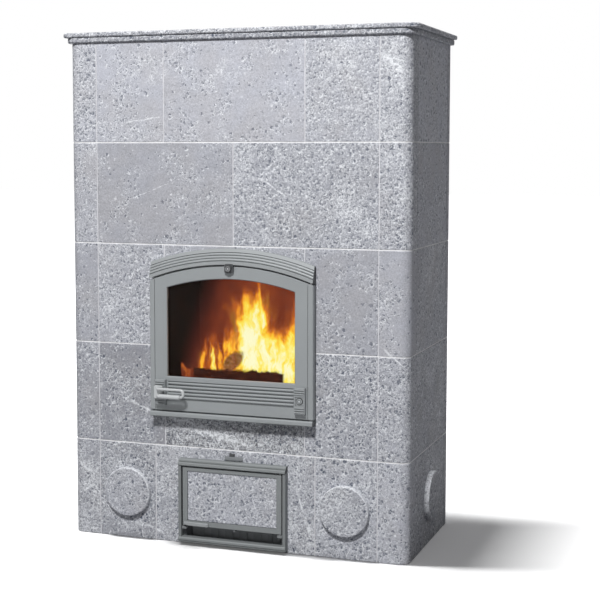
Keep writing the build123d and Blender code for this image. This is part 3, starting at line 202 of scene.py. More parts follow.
# soapstone: grey ground, dark eyes with pale rims that carry a painted highlight on one side, pale
# flecks, curls and veins
stone = dict(
    ground=tint(0.424, 0.425, 0.455),
    cool=tint(0.376, 0.385, 0.427),
    dark=tint(0.078, 0.093, 0.130),
    pale=tint(0.93, 0.95, 0.98),
    # cells per metre, radius of an eye in its cell, share of cells that have one
    eyeLayers=((155.0, 0.50, 0.50), (90.0, 0.52, 0.80), (62.0, 0.46, 0.56)),
    glint=(0.62, 0.2, -0.78),  # the side of an eye where its rim is pale: a painted highlight, as if lit from there
    rimLength=0.10,  # how far over a cell the painted highlight on the pale side fades in
    cloudScale=6.5,
    chalkScale=7.5,
    driftScale=11.0,
    streakScale=15.0,
    frostScale=26.0,
    curlScale=42.0,
    threadScale=85.0,
    rimScale=120.0,
    wobbleScale=150.0,
    fleckScale=190.0,
    grainScale=290.0,
    wobble=0.013,  # metres, how far the eyes are pushed out of round
    streakTurn=0.45,
    rough=0.60,
    specular=0.14,
    relief=0.66,
    reliefDepth=0.0014,
    highlightFrom=0.0034,  # the band of a turned edge that gets a painted highlight, in from the rim
    highlightTo=0.0018,
)


def byStone(along, cuts, values):  # one value for each stone between the joints
    total = along.above(-9) * values[0]
    for cut, low, high in zip(cuts, values, values[1:]):
        if high != low:
            total = total + along.above(cut) * (high - low)
    return total


def veinLine(place, wander, vein):  # a pale vein drawn from one point of the face to another
    x0, z0, x1, z1, width = vein
    length = ((x1 - x0) ** 2 + (z1 - z0) ** 2) ** 0.5
    ux, uz = (x1 - x0) / length, (z1 - z0) / length
    x, y, z = place.parts()
    along = (x - x0) * ux + (z - z0) * uz
    across = (z - z0) * ux - (x - x0) * uz + (wander - 0.5) * (width * 3.5)
    across = across.sum("ABSOLUTE")
    ends = along.fade(-0.01, 0.02) * (1 - along.fade(length - 0.02, length + 0.01))
    return (1 - across.fade(0.0, width)) * ends


def soapstone(
    name, axis=0, cuts=(), tone=(1.0,), eyes=(0.5,), curls=(0.4,), seed=0.0,
    veins=(), clouds=(), contrast=1.0, marks=0.86, drifting=0.36, turned=None
):
    # axis is the one the stones are counted along, turned the one across a round cover
    material, place = newMaterial(name)
    along = place.parts()[axis]
    number = byStone(along, cuts, [seed + 1.7 * i for i in range(len(cuts) + 1)])
    moved = {0: number, 1: number * 0.37, 2: number * -0.61}
    own = place.shift(place.make("ShaderNodeCombineXYZ", {}, moved))  # its own stretch of pattern
    toneOf = byStone(along, cuts, tone)
    eyesOf = byStone(along, cuts, eyes)
    curlsOf = byStone(along, cuts, curls)

    cloud = own.noise(stone["cloudScale"], 4.0, 0.62)
    drift = own.shift((3.3, 1.1, 7.2)).noise(stone["driftScale"], 4.0, 0.6)
    zone = (drift + (eyesOf - 0.5) * 0.55).fade(0.33, 0.66)  # where the eyes crowd
    grain = own.noise(stone["grainScale"], 3.0, 0.75)
    fleck = own.noise(stone["fleckScale"], 3.0, 0.7)
    streak = own.stretched((1.0, 1.0, 4.0), (0, stone["streakTurn"], 0))
    streak = streak.noise(stone["streakScale"], 4.0, 0.65)
    wobble = own.shift(own.noiseVector(stone["wobbleScale"], 2.0).scaled(stone["wobble"]))

    core = rim = None
    for scale, size, chance in stone["eyeLayers"]:
        distance, kind, middle = wobble.cells(scale)
        pick, girth, depth = kind.parts()
        there = (zone * chance * 1.25 + 0.03 - pick).above(0.0)
        edge = (girth * 0.55 + 0.45) * size
        dot = (1 - distance.fade(edge * 0.55, edge)) * (depth * 0.60 + 0.40) * there
        # painted highlight: only the side of each eye's rim that faces the glint is pale
        lit = wobble.toward(middle, stone["glint"]).fade(-0.0006, stone["rimLength"] / scale)
        ring = distance.fade(edge * 0.80, edge * 1.05)
        ring = ring * (1 - distance.fade(edge * 1.15, edge * 1.7))
        ring = ring * lit * (depth * 0.5 + 0.5) * there
        core = dot if core is None else core + dot
        rim = ring if rim is None else rim + ring
    core = core.clamped()
    rim = rim.clamped() * own.noise(stone["rimScale"], 2.0).fade(0.34, 0.60)

    chalk = own.shift((9.2, 4.4, 1.7)).noise(stone["chalkScale"], 4.0, 0.62)
    chalk = (chalk + (curlsOf - 0.5) * 0.5).fade(0.50, 0.68)  # where the stone is chalky
    if clouds:
        frost = own.shift((5.1, 2.2, 8.4)).noise(stone["frostScale"], 4.0, 0.65)
        x, y, z = place.parts()
        for middleX, middleZ, halfX, halfZ in clouds:
            far = ((x - middleX) / halfX) ** 2 + ((z - middleZ) / halfZ) ** 2
            patch = (1 - far.fade(0.25, 1.1)) * frost.fade(0.42, 0.60)
            chalk = chalk + patch * 0.9
        chalk = chalk.clamped()
    curl = own.noise(stone["curlScale"], 4.0, 0.68, 1.0).ridge(0.055)
    curl = curl * chalk * fleck.fade(0.38, 0.56)
    thread = own.shift((1.9, 6.1, 3.7)).noise(stone["threadScale"], 3.0, 0.65, 0.9).ridge(0.06)
    thread = thread * (zone * 0.9 + chalk * 0.4 + 0.06) * grain.fade(0.38, 0.58)
    pepper = fleck.fade(0.57, 0.74) * (chalk * 0.9 + zone * 0.20)

    # the ground's own light and dark, then the marks over it
    speckle = (fleck - 0.5) * (zone * 0.45 + 0.62) + (grain - 0.5) * (0.98 - zone * 0.1)
    shade = 1.03 + (cloud - 0.5) * drifting + (streak - 0.5) * 0.34 + speckle * contrast
    base = (cloud + zone * 0.12).fade(0.34, 0.68).blend(stone["ground"], stone["cool"])
    base = base.scaled(shade * toneOf)
    base = (core * marks).clamped().blend(base, stone["dark"])
    # the eyes' pale rims: partly the stone's own colour, partly painted highlight
    base = (rim * 0.72).blend(base, stone["pale"])
    base = (pepper * 0.30).clamped().blend(base, stone["pale"])
    base = (curl * 0.80).blend(base, stone["pale"])
    base = (thread * 0.64).clamped().blend(base, stone["pale"])
    if turned is not None:  # a painted highlight round the turned edge of a round cover
        low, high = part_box(name.removesuffix("Finish"))
        across, up = place.parts()[turned], place.parts()[2]
        radius = (high[2] - low[2]) / 2
        out = (across - (low[turned] + high[turned]) / 2) ** 2
        out = (out + (up - (low[2] + high[2]) / 2) ** 2).sum("SQRT")
        edgeHighlight = out.fade(radius - stone["highlightFrom"], radius - stone["highlightTo"])
        edgeHighlight = edgeHighlight * fleck.fade(0.36, 0.56)
        base = (edgeHighlight * 0.55).blend(base, stone["pale"])
    if veins:
        wander = place.noise(30.0, 4.0, 0.6)
        lines = None
        for vein in veins:
            line = veinLine(place, wander, vein)
            lines = line if lines is None else lines + line
        patchy = place.noise(90.0, 3.0, 0.7).fade(0.34, 0.60)
        base = (lines.clamped() * patchy * 0.75).blend(base, stone["pale"])

    height = fleck * 0.5 + rim * 0.5 - core * 0.9 + curl * 0.35 + grain * 0.35
    return principled(
        material,
        place,
        Base_Color=base,
        Roughness=stone["rough"] + grain * 0.22 + core * 0.12 - curl * 0.08,
        Normal=height.bump(stone["relief"], stone["reliefDepth"]),
        Specular_IOR_Level=stone["specular"],
    )


# joints in metres, from the middle of the front or up from the floor
wideJoints = (-0.2135, 0.2135)
middleJoint = (0.0,)
bottomJoints = (-0.245, 0.245)
bedHeights = (0.2835, 0.5765, 0.8695, 1.1625)

# one value a stone, from the left or from the floor up; a vein is x, z, x, z and its width,
# a cloud of chalk is x, z and its half width and height
stoneSets = dict(
    top_course_stones=dict(
        cuts=wideJoints,
        tone=(1.12, 1.115, 0.99),
        eyes=(0.44, 0.36, 0.72),
        curls=(0.30, 0.30, 0.42),
        seed=3.1,
        veins=((-0.335, 1.219, -0.216, 1.237, 0.0035),),
        clouds=((0.33, 1.40, 0.09, 0.05), (-0.25, 1.37, 0.06, 0.05)),
        drifting=0.62,
        marks=0.64,
    ),
    second_course_stones=dict(
        cuts=middleJoint,
        tone=(0.95, 0.90),
        eyes=(0.32, 0.84),
        curls=(0.14, 0.44),
        seed=11.3,
        veins=((0.085, 1.060, 0.178, 1.000, 0.0045), (-0.32, 1.00, -0.20, 1.045, 0.0018)),
        marks=0.72,
    ),
    third_course_stones=dict(
        cuts=wideJoints,
        tone=(1.0, 0.97, 0.94),
        eyes=(0.66, 0.5, 0.44),
        curls=(0.60, 0.4, 0.22),
        seed=23.9,
        clouds=((-0.40, 0.835, 0.06, 0.035), (-0.25, 0.84, 0.05, 0.03)),
        marks=0.70,
    ),
    fourth_course_stones=dict(
        cuts=wideJoints,
        # the stone below the fire door is much darker: partly its own mottled colour, partly
        # painted shade under the door's sill
        tone=(0.76, 0.42, 0.90),
        eyes=(0.50, 0.82, 0.76),
        curls=(0.42, 0.72, 0.34),
        seed=31.4,
        veins=(
            (-0.21, 0.372, 0.06, 0.296, 0.013),
            (-0.20, 0.345, -0.02, 0.318, 0.008),
            (-0.33, 0.41, -0.215, 0.365, 0.006),
        ),
        clouds=((-0.10, 0.35, 0.16, 0.045), (0.10, 0.31, 0.14, 0.02)),
        marks=0.95,
    ),
    bottom_course_stones=dict(
        cuts=bottomJoints,
        tone=(0.82, 0.92, 0.99),
        eyes=(0.74, 0.78, 0.90),
        curls=(0.60, 0.62, 0.55),
        seed=47.2,
        veins=((0.19, 0.19, 0.235, 0.05, 0.007), (-0.30, 0.05, -0.22, 0.02, 0.006)),
        clouds=((-0.33, 0.03, 0.08, 0.03), (0.20, 0.10, 0.03, 0.05)),
        contrast=1.05,
        marks=1.0,
    ),
    left_corner_stones=dict(
        axis=2,
        cuts=bedHeights,
        tone=(0.88, 0.85, 0.96, 1.02, 1.04),
        eyes=(0.72, 0.60, 0.44, 0.66, 0.74),
        curls=(0.65, 0.45, 0.3, 0.4, 0.35),
        seed=53.8,
        veins=((-0.50, 0.215, -0.43, 0.165, 0.010), (-0.50, 0.12, -0.44, 0.15, 0.006)),
        clouds=((-0.48, 0.19, 0.05, 0.05),),
        marks=0.75,
    ),
    right_corner_stones=dict(
        axis=2,
        cuts=bedHeights,
        tone=(1.09, 0.95, 1.04, 0.97, 0.93),
        eyes=(0.56, 0.72, 0.38, 0.82, 0.80),
        curls=(0.34, 0.40, 0.25, 0.42, 0.52),
        seed=61.5,
        veins=((0.435, 1.40, 0.495, 1.352, 0.012), (0.44, 0.60, 0.50, 0.55, 0.004)),
        clouds=((0.46, 1.39, 0.05, 0.045), (0.47, 1.12, 0.05, 0.03)),
        marks=0.84,
    ),
    left_side_stones=dict(
        axis=2,
        cuts=bedHeights,
        tone=(0.95, 0.94, 0.98, 1.0, 1.0),
        eyes=(0.6, 0.5, 0.6, 0.4, 0.6),
        curls=(0.5, 0.4, 0.5, 0.3, 0.3),
        seed=71.0,
    ),
    right_side_stones=dict(
        axis=2,
        cuts=bedHeights,
        # the tones rise towards the top: painted light, the upper stones of this shaded side
        # lighter as if more light fell there
        tone=(0.94, 0.95, 1.02, 1.14, 1.36),
        eyes=(0.78, 0.7, 0.6, 0.55, 0.66),
        curls=(0.55, 0.5, 0.5, 0.3, 0.3),
        seed=83.6,
    ),
    back_stones=dict(
        axis=2,
        cuts=bedHeights,
        tone=(0.93, 0.95, 0.93, 0.98, 1.0),
        eyes=(0.5, 0.6, 0.5, 0.4, 0.5),
        curls=(0.4, 0.5, 0.4, 0.3, 0.4),
        seed=97.7,
    ),
    cornice_lower=dict(
        tone=(0.72,), eyes=(0.9,), curls=(0.5,), seed=7.7, contrast=1.4, marks=1.0
    ),
    cornice_upper=dict(
        tone=(0.76,), eyes=(0.9,), curls=(0.7,), seed=17.2, contrast=1.5, marks=1.0, drifting=0.9
    ),
    front_left_soot_cover=dict(eyes=(0.66,), curls=(0.5,), seed=101.0, turned=0),
    front_right_soot_cover=dict(tone=(0.89,), eyes=(0.72,), curls=(0.5,), seed=110.3, turned=0),
    left_side_soot_cover=dict(tone=(0.96,), eyes=(0.6,), curls=(0.5,), seed=119.6, turned=1),
    right_side_soot_cover=dict(tone=(0.96,), eyes=(0.6,), curls=(0.6,), seed=128.9, turned=1),
    ash_door_stone=dict(tone=(1.01,), eyes=(0.88,), curls=(0.36,), seed=141.7),
)
finishes = {name: soapstone(name + "Finish", **settings) for name, settings in stoneSets.items()}
print("soapstone mixed")


# mortar, and the core's stones with what the fire has done to them
def mortar(name, shade):
    material, place = newMaterial(name)
    sand = place.noise(900.0, 3.0, 0.7)
    patch = place.noise(22.0, 3.0)
    base = patch.fade(0.35, 0.7).blend(shade, deeper(shade, 0.82))
    return principled(
        material,
        place,
        Base_Color=base,
        Roughness=0.85 + sand * 0.1,
        Normal=sand.bump(0.4, 0.0006),
    )


def coreStone(name, shade, soot):  # soot from 0 clean to 1 black
    material, place = newMaterial(name)
    blotch = place.noise(14.0, 5.0, 0.65)
    pores = place.cells(240.0)[0]
    grain = place.noise(300.0, 3.0)
    base = (blotch * 1.2).clamped().blend(shade, deeper(shade, 0.72))
    mask = (blotch * 0.5 + soot).fade(0.55, 1.0)
    base = mask.blend(base, tint(0.010, 0.007, 0.006))
    height = grain * 0.5 + pores.fade(0.0, 0.3) * 0.5
    return principled(
        material,
        place,
        Base_Color=base,
        Roughness=0.75 + grain * 0.2,
        Normal=height.bump(0.5, 0.001),
        Specular_IOR_Level=0.08,
    )


cleanCore = coreStone("coreSoapstone", tint(0.34, 0.33, 0.31), 0.15)
sootyCore = coreStone("sootedLining", tint(0.050, 0.028, 0.020), 0.66)
blackCore = coreStone("blackenedThroat", tint(0.10, 0.09, 0.08), 0.8)


# metals, seals and glass
paint = dict(
    castScale=520.0,
    cloudScale=11.0,
    rubScale=45.0,
    hollowSamples=8,
    metallic=0.1,
    specular=0.4,
    relief=0.22,
    reliefDepth=0.0004,
)
ringedButton = dict(  # the round boss on the hinge block: where it is, and its rings' radii
    x=0.212,
    z=0.4455,
    outer=(0.0078, 0.0086, 0.0100, 0.0108),
    inner=(0.0034, 0.0040, 0.0048, 0.0054),
    centre=(0.0026, 0.0034),
)


def band(distance, edges):  # 1 between the second and the third edge
    return distance.fade(edges[0], edges[1]) * (1 - distance.fade(edges[2], edges[3]))


def enamel(name, shade, rough=0.52, recess=0.7, reach=0.007, sides=0, rootDepth=0, ringed=False):
    # heat proof paint on castings, with painted shade darkening the hollows within reach
    material, place = newMaterial(name)
    cast = place.noise(paint["castScale"], 3.0, 0.6)
    cloudy = place.noise(paint["cloudScale"], 3.0)
    rubbed = place.noise(paint["rubScale"], 5.0, 0.7).fade(0.62, 0.74)
    near = dict(samples=paint["hollowSamples"], only_local=True)
    hollow = place.make("ShaderNodeAmbientOcclusion", near, {"Distance": reach}, out=1)
    base = cloudy.blend(shade, deeper(shade, 1.12))
    base = (rubbed * 0.20).blend(base, deeper(shade, 1.5))
    # painted shade: the more closed in a point is, the darker its paint
    base = ((1 - hollow).fade(0.15, 0.75) * recess).blend(base, deeper(shade, 0.16))
    if sides:  # painted shade: the castings' end faces, turned toward +x, are darkened as if in shadow
        facing = place.make("ShaderNodeTexCoord", {}, {}, out=1).parts()[0]
        base = (facing.above(0.75) * sides).blend(base, deeper(shade, 0.10))
    if rootDepth:  # painted shade: the handle's hub, behind its bright loop, is darkened as if in the loop's shadow
        base = place.parts()[1].above(rootDepth).blend(base, deeper(shade, 0.30))
    if ringed:  # painted shade in the grooves round the button
        x, y, z = place.parts()
        out = ((x - ringedButton["x"]) ** 2 + (z - ringedButton["z"]) ** 2).sum("SQRT")
        grooves = band(out, ringedButton["outer"]) + band(out, ringedButton["inner"])
        base = (grooves.clamped() * 0.95).blend(base, deeper(shade, 0.12))
        # painted highlight on the button's centre
        base = ((1 - out.fade(*ringedButton["centre"])) * 0.8).blend(base, deeper(shade, 1.9))
    return principled(
        material,
        place,
        Base_Color=base,
        Roughness=rough + cast * 0.16 - 0.08 + rubbed * 0.06,
        Metallic=paint["metallic"],
        Normal=cast.bump(paint["relief"], paint["reliefDepth"]),
        Specular_IOR_Level=paint["specular"],
    )


airSlot = dict(
    low=0.0225,
    high=0.0565,
    half=0.1575,
    front=-0.2385,  # the slot's walls begin here
    grille=-0.2125,  # and its grille here, behind the slide
    knobEnd=-0.2275,  # the slide's knob is bare in front of this
    walls=tint(0.085, 0.090, 0.095),
    grilleShade=tint(0.27, 0.28, 0.29),
    slideShades=(tint(0.210, 0.218, 0.225), tint(0.230, 0.240, 0.247)),
    bare=tint(0.70, 0.71, 0.72),
    specular=0.25,
)


def slotPaint(name, shade):  # the ash door frame, with painted shade on the walls inside its air slot, and the grille behind the slide painted lighter to make up for the shade it sits in
    material, place = newMaterial(name)
    x, y, z = place.parts()
    cast = place.noise(paint["castScale"], 3.0, 0.6)
    cloudy = place.noise(paint["cloudScale"], 3.0)
    inSlot = z.above(airSlot["low"]) * (1 - z.above(airSlot["high"]))
    inSlot = inSlot * y.above(airSlot["front"])
    inSlot = inSlot * x.above(-airSlot["half"]) * (1 - x.above(airSlot["half"]))
    base = cloudy.blend(shade, deeper(shade, 1.12))
    # painted shade on the slot's walls, then painted light on the shaded grille
    base = inSlot.blend(base, airSlot["walls"])
    base = (inSlot * y.above(airSlot["grille"])).blend(base, airSlot["grilleShade"])
    return principled(
        material,
        place,
        Base_Color=base,
        Roughness=0.50 + cast * 0.16,
        Normal=cast.bump(paint["relief"], paint["reliefDepth"]),
        Specular_IOR_Level=airSlot["specular"],
    )


def slideSteel(name):  # the slide's dark plate, with the bare end of its knob
    material, place = newMaterial(name)
    x, y, z = place.parts()
    cast = place.noise(320.0, 3.0, 0.6)
    bare = 1 - y.above(airSlot["knobEnd"])
    base = place.noise(13.0, 3.0).blend(*airSlot["slideShades"])
    base = bare.blend(base, airSlot["bare"])
    return principled(
        material,
        place,
        Base_Color=base,
        Roughness=0.50 + cast * 0.2,
        Normal=cast.bump(0.25, 0.0004),
        Specular_IOR_Level=airSlot["specular"],
    )


def steel(name, shade, rough):  # drawn out in fine level lines
    material, place = newMaterial(name)
    brushed = place.stretched((1, 1, 60)).noise(90.0, 3.0, 0.6)
    stain = place.noise(16.0, 3.0)
    base = stain.blend(shade, deeper(shade, 0.78))
    return principled(
        material,
        place,
        Base_Color=base,
        Metallic=1.0,
        Roughness=rough + brushed * 0.18 - 0.09,
        Normal=brushed.bump(0.12, 0.0003),
    )


def castIron(name):
    material, place = newMaterial(name)
    sand = place.noise(620.0, 4.0, 0.7)
    ash = place.noise(30.0, 4.0, 0.6).fade(0.5, 0.75)
    base = (ash * 0.6).blend(tint(0.032, 0.031, 0.031), tint(0.20, 0.19, 0.18))
    return principled(
        material,
        place,
        Base_Color=base,
        Metallic=0.5,
        Roughness=0.62 + sand * 0.2,
        Normal=sand.bump(0.6, 0.0008),
    )


def braid(name, shade, strands=900.0):  # glass fibre, woven both ways across
    material, place = newMaterial(name)
    x, y, z = place.parts()
    one = ((x + z) * strands).sum("SINE")
    other = ((x - z) * strands).sum("SINE")
    weave = one * other * 0.5 + 0.5
    fuzz = place.noise(700.0, 2.0)
    return principled(
        material,
        place,
        Base_Color=(weave * 0.6 + fuzz * 0.4).blend(deeper(shade, 0.55), shade),
        Roughness=0.95,
        Normal=weave.bump(0.6, 0.001),
    )


def doorGlass(name, clearness=0.035, film=0.02):  # a film of soot, thicker towards the top
    material, place = newMaterial(name)
    haze = place.noise(6.0, 4.0, 0.6)
    clean = (place.parts()[2] * -4.0 + 3.05 + haze * 0.6).fade(0.0, 1.6)
    return principled(
        material,
        place,
        Base_Color=tint(0.02, 0.018, 0.016),
        Roughness=0.04,
        Alpha=clearness + (1 - clean) * film,
        Specular_IOR_Level=0.5,
    )


doorGrey = tint(0.262, 0.278, 0.285)
blockGrey = tint(0.25, 0.265, 0.272)
leafEnamel = enamel("leafEnamel", doorGrey)
greyEnamel = enamel("greyEnamel", doorGrey, sides=0.9)
paleEnamel = enamel(
    "greyEnamelLight", tint(0.285, 0.301, 0.307), rough=0.48, recess=0.98, reach=0.013, sides=0.9
)
ashEnamel = enamel("ashDoorEnamel", tint(0.195, 0.208, 0.211), rough=0.50, recess=0.9, reach=0.010)
ashHoodEnamel = enamel(
    "ashHoodEnamel", tint(0.215, 0.229, 0.232), rough=0.48, recess=0.98, reach=0.012, sides=0.9
)
handleEnamel = enamel(
    "handleEnamel", tint(0.45, 0.465, 0.47), rough=0.42, recess=0.4, rootDepth=-0.274
)
leverEnamel = enamel("leverEnamel", tint(0.275, 0.290, 0.295), rough=0.45, recess=0.8)
blockEnamel = enamel("blockEnamel", blockGrey, rough=0.50, recess=1.0, reach=0.012)
ringedEnamel = enamel("ringedEnamel", blockGrey, rough=0.50, recess=1.0, reach=0.012, ringed=True)
darkIron = enamel("darkIron", tint(0.045, 0.047, 0.050), rough=0.5)
barSteel = steel("hotRolledSteel", tint(0.20, 0.20, 0.21), rough=0.5)
sheetSteel = steel("sheetSteel", tint(0.42, 0.43, 0.44), rough=0.36)
brightSteel = steel("screwSteel", tint(0.62, 0.62, 0.62), rough=0.28)

shared = (
    # the bed mortar is painted lighter than the upright mortar, making up for the shade the stone
    # above casts on it
    (mortar("bedMortar", tint(0.93, 0.93, 0.94)), "bed_mortar"),
    (mortar("uprightMortar", tint(0.70, 0.70, 0.73)), "joint_mortar"),
    (cleanCore, "base_slab ash_chamber_walls core_piers ceiling_slab"),
    (sootyCore, "hearth_slab firebox_side_linings firebox_rear_lining core_side_walls"),
    (blackCore, "core_rear_wall core_front_wall throat_stones"),
    (leafEnamel, "fire_door_leaf"),
    (greyEnamel, "fire_door_frame fire_door_sill"),
    (blockEnamel, "handle_block"),
    (ringedEnamel, "hinge_block"),
    (ashEnamel, "ash_door_leaf ash_door_sill"),
    (leverEnamel, "ash_door_handle"),
    (slotPaint("ashFrameEnamel", tint(0.190, 0.202, 0.205)), "ash_door_frame"),
    (paleEnamel, "fire_door_hood"),
    (ashHoodEnamel, "ash_door_hood"),
    (handleEnamel, "fire_door_handle"),
    (darkIron, "fire_door_latch ash_door_latch airwash_shutter airwash_knob"),
    (barSteel, "lintel_bar frame_brackets fire_door_hinge_pins ash_door_hinge_pins glass_clips"),
    (sheetSteel, "flue_collar ash_pan ash_pan_runners"),
    (slideSteel("slideSteel"), "primary_air_slide"),
    (brightSteel, "clip_screws"),
    (castIron("grateIron"), "grate"),
    (braid("sealRope", tint(0.34, 0.33, 0.31)), "fire_door_gasket"),
    (braid("glassTape", tint(0.16, 0.16, 0.16)), "glass_gasket"),
    (doorGlass("fireGlass"), "fire_door_glass"),
)
for material, names in shared:
    for name in names.split():
        finishes[name] = material

for name, node in nodes.items():
    node.material_slots[0].material = finishes[name]
print("finishes on", len(finishes), "nodes")


# modelling helpers, all through operators
def clear():
    if bpy.context.object and bpy.context.object.mode != "OBJECT":
        bpy.ops.object.mode_set(mode="OBJECT")
    bpy.ops.object.select_all(action="DESELECT")


def only(piece):
    clear()
    piece.select_set(True)
    bpy.context.view_layer.objects.active = piece


def modify(piece, kind, **settings):
    only(piece)
    modifier = piece.modifiers.new(kind.lower(), kind)
    for name, value in settings.items():
        setattr(modifier, name, value)
    bpy.ops.object.modifier_apply(modifier=modifier.name)


def settle(piece, name, material, angle=35):  # names it and moves its place into the mesh
    only(piece)
    bpy.ops.object.transform_apply(location=True, rotation=True, scale=True)
    piece.name = name
    piece.data.name = name
    piece.data.materials.clear()
    piece.data.materials.append(material)
    bpy.ops.object.shade_smooth_by_angle(angle=radians(angle))


# a bare plate above the ash door, with a small dark stop on it
plateBack = -0.2303  # a hair in front of the stone
plate = dict(x=0.001, z=0.2605, width=0.054, height=0.0125, thickness=0.0035, edge=0.0011)
stop = dict(x=-0.004, z=0.2705, width=0.016, height=0.008, thickness=0.005, edge=0.0012)


def smallPlate(name, sizes, material):
    clear()
    middle = plateBack - sizes["thickness"] / 2
    bpy.ops.mesh.primitive_cube_add(size=1, location=(sizes["x"], middle, sizes["z"]))
    piece = bpy.context.object
    piece.scale = (sizes["width"], sizes["thickness"], sizes["height"])
    bpy.ops.object.transform_apply(location=True, rotation=True, scale=True)
    modify(piece, "BEVEL", width=sizes["edge"], segments=3, limit_method="ANGLE")
    settle(piece, name, material)
    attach(piece, "stove")


smallPlate("barePlate", plate, enamel("plateEnamel", tint(0.19, 0.20, 0.21), rough=0.5))
smallPlate("plateStop", stop, darkIron)
print("plate made")


# the air shutter's knob: a turned button with a dished face and a bright screw head
knob = dict(
    z=0.809,
    back=-0.2638,
    front=-0.2723,
    radius=0.0085,
    sides=56,
    rounding=0.0009,
    lip=0.0017,
    wall=0.0006,  # the dish's sloping wall
    dish=0.0013,
    head=0.0022,
    headRise=0.0011,
    headEdge=0.0005,
    headCrown=0.0003,
    paleRing=(0.0046, 0.0052, 0.0066, 0.0072),
    lathe=9000.0,  # its fine marks, in radians per metre
)
clear()
bpy.ops.mesh.primitive_cylinder_add(
    vertices=knob["sides"],
    radius=knob["radius"],
    depth=knob["back"] - knob["front"],
    location=(0, (knob["back"] + knob["front"]) / 2, knob["z"]),
    rotation=(pi / 2, 0, 0),
)
button = bpy.context.object
bpy.ops.object.transform_apply(location=True, rotation=True, scale=True)
modify(button, "BEVEL", width=knob["rounding"], segments=3, limit_method="ANGLE")
bpy.ops.object.mode_set(mode="EDIT")
bpy.ops.mesh.select_all(action="DESELECT")
bpy.ops.object.mode_set(mode="OBJECT")
for face in button.data.polygons:  # the large face in front
    face.select = face.normal.y < -0.99 and face.area > 3 * knob["radius"] ** 2 / 2
bpy.ops.object.mode_set(mode="EDIT")
bpy.ops.mesh.inset(thickness=knob["lip"])
bpy.ops.mesh.inset(thickness=knob["wall"])
bpy.ops.transform.translate(value=(0, knob["dish"], 0))
dishFloor = knob["radius"] - knob["lip"] - knob["wall"] - knob["rounding"] - knob["head"]
bpy.ops.mesh.inset(thickness=dishFloor)
bpy.ops.mesh.extrude_region_move(TRANSFORM_OT_translate={"value": (0, -knob["headRise"], 0)})
bpy.ops.mesh.inset(thickness=knob["headEdge"])
bpy.ops.transform.translate(value=(0, -knob["headCrown"], 0))
bpy.ops.object.mode_set(mode="OBJECT")


def knobMaterial():
    material, place = newMaterial("turnedKnob")
    x, y, z = place.parts()
    out = (x * x + (z - knob["z"]) ** 2).sum("SQRT")
    rings = (out * knob["lathe"]).sum("SINE")
    face = 1 - out.fade(knob["head"] * 0.9, knob["head"] * 1.15)
    ring = band(out, knob["paleRing"])
    base = ring.blend(tint(0.075, 0.078, 0.082), tint(0.23, 0.235, 0.24))
    base = face.blend(base, tint(0.36, 0.37, 0.38))
    return principled(
        material,
        place,
        Base_Color=base,
        Metallic=face * 0.5 + 0.2,
        Roughness=0.40 + rings * 0.04,
        Normal=rings.bump(0.15, 0.0002),
    )


settle(button, "airwashButton", knobMaterial())
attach(button, "air_shutter")
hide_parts("airwash_knob")


# the seals: round braided rope in the leaf, flat woven tape behind the glass
seals = (  # node, piece, rounding of the edges and its steps
    ("fire_door_gasket", "doorSealRope", 0.0026, 4),
    ("glass_gasket", "glassSealTape", 0.0005, 2),
)
for nodeName, pieceName, rounding, steps in seals:
    clear()
    seal = nodes[nodeName].copy()
    seal.data = nodes[nodeName].data.copy()
    bpy.context.collection.objects.link(seal)
    seal.parent = None
    for key in list(seal.keys()):  # what marks the original as a node
        del seal[key]
    only(seal)
    bpy.ops.object.mode_set(mode="EDIT")
    bpy.ops.mesh.select_all(action="SELECT")
    bpy.ops.mesh.remove_doubles(threshold=0.00001)
    bpy.ops.mesh.dissolve_limited(angle_limit=radians(1))
    bpy.ops.object.mode_set(mode="OBJECT")
    modify(seal, "BEVEL", width=rounding, segments=steps, limit_method="ANGLE")
    settle(seal, pieceName, finishes[nodeName], 50)
    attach(seal, "fire_door")
    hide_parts(nodeName)
print("knob and seals made")


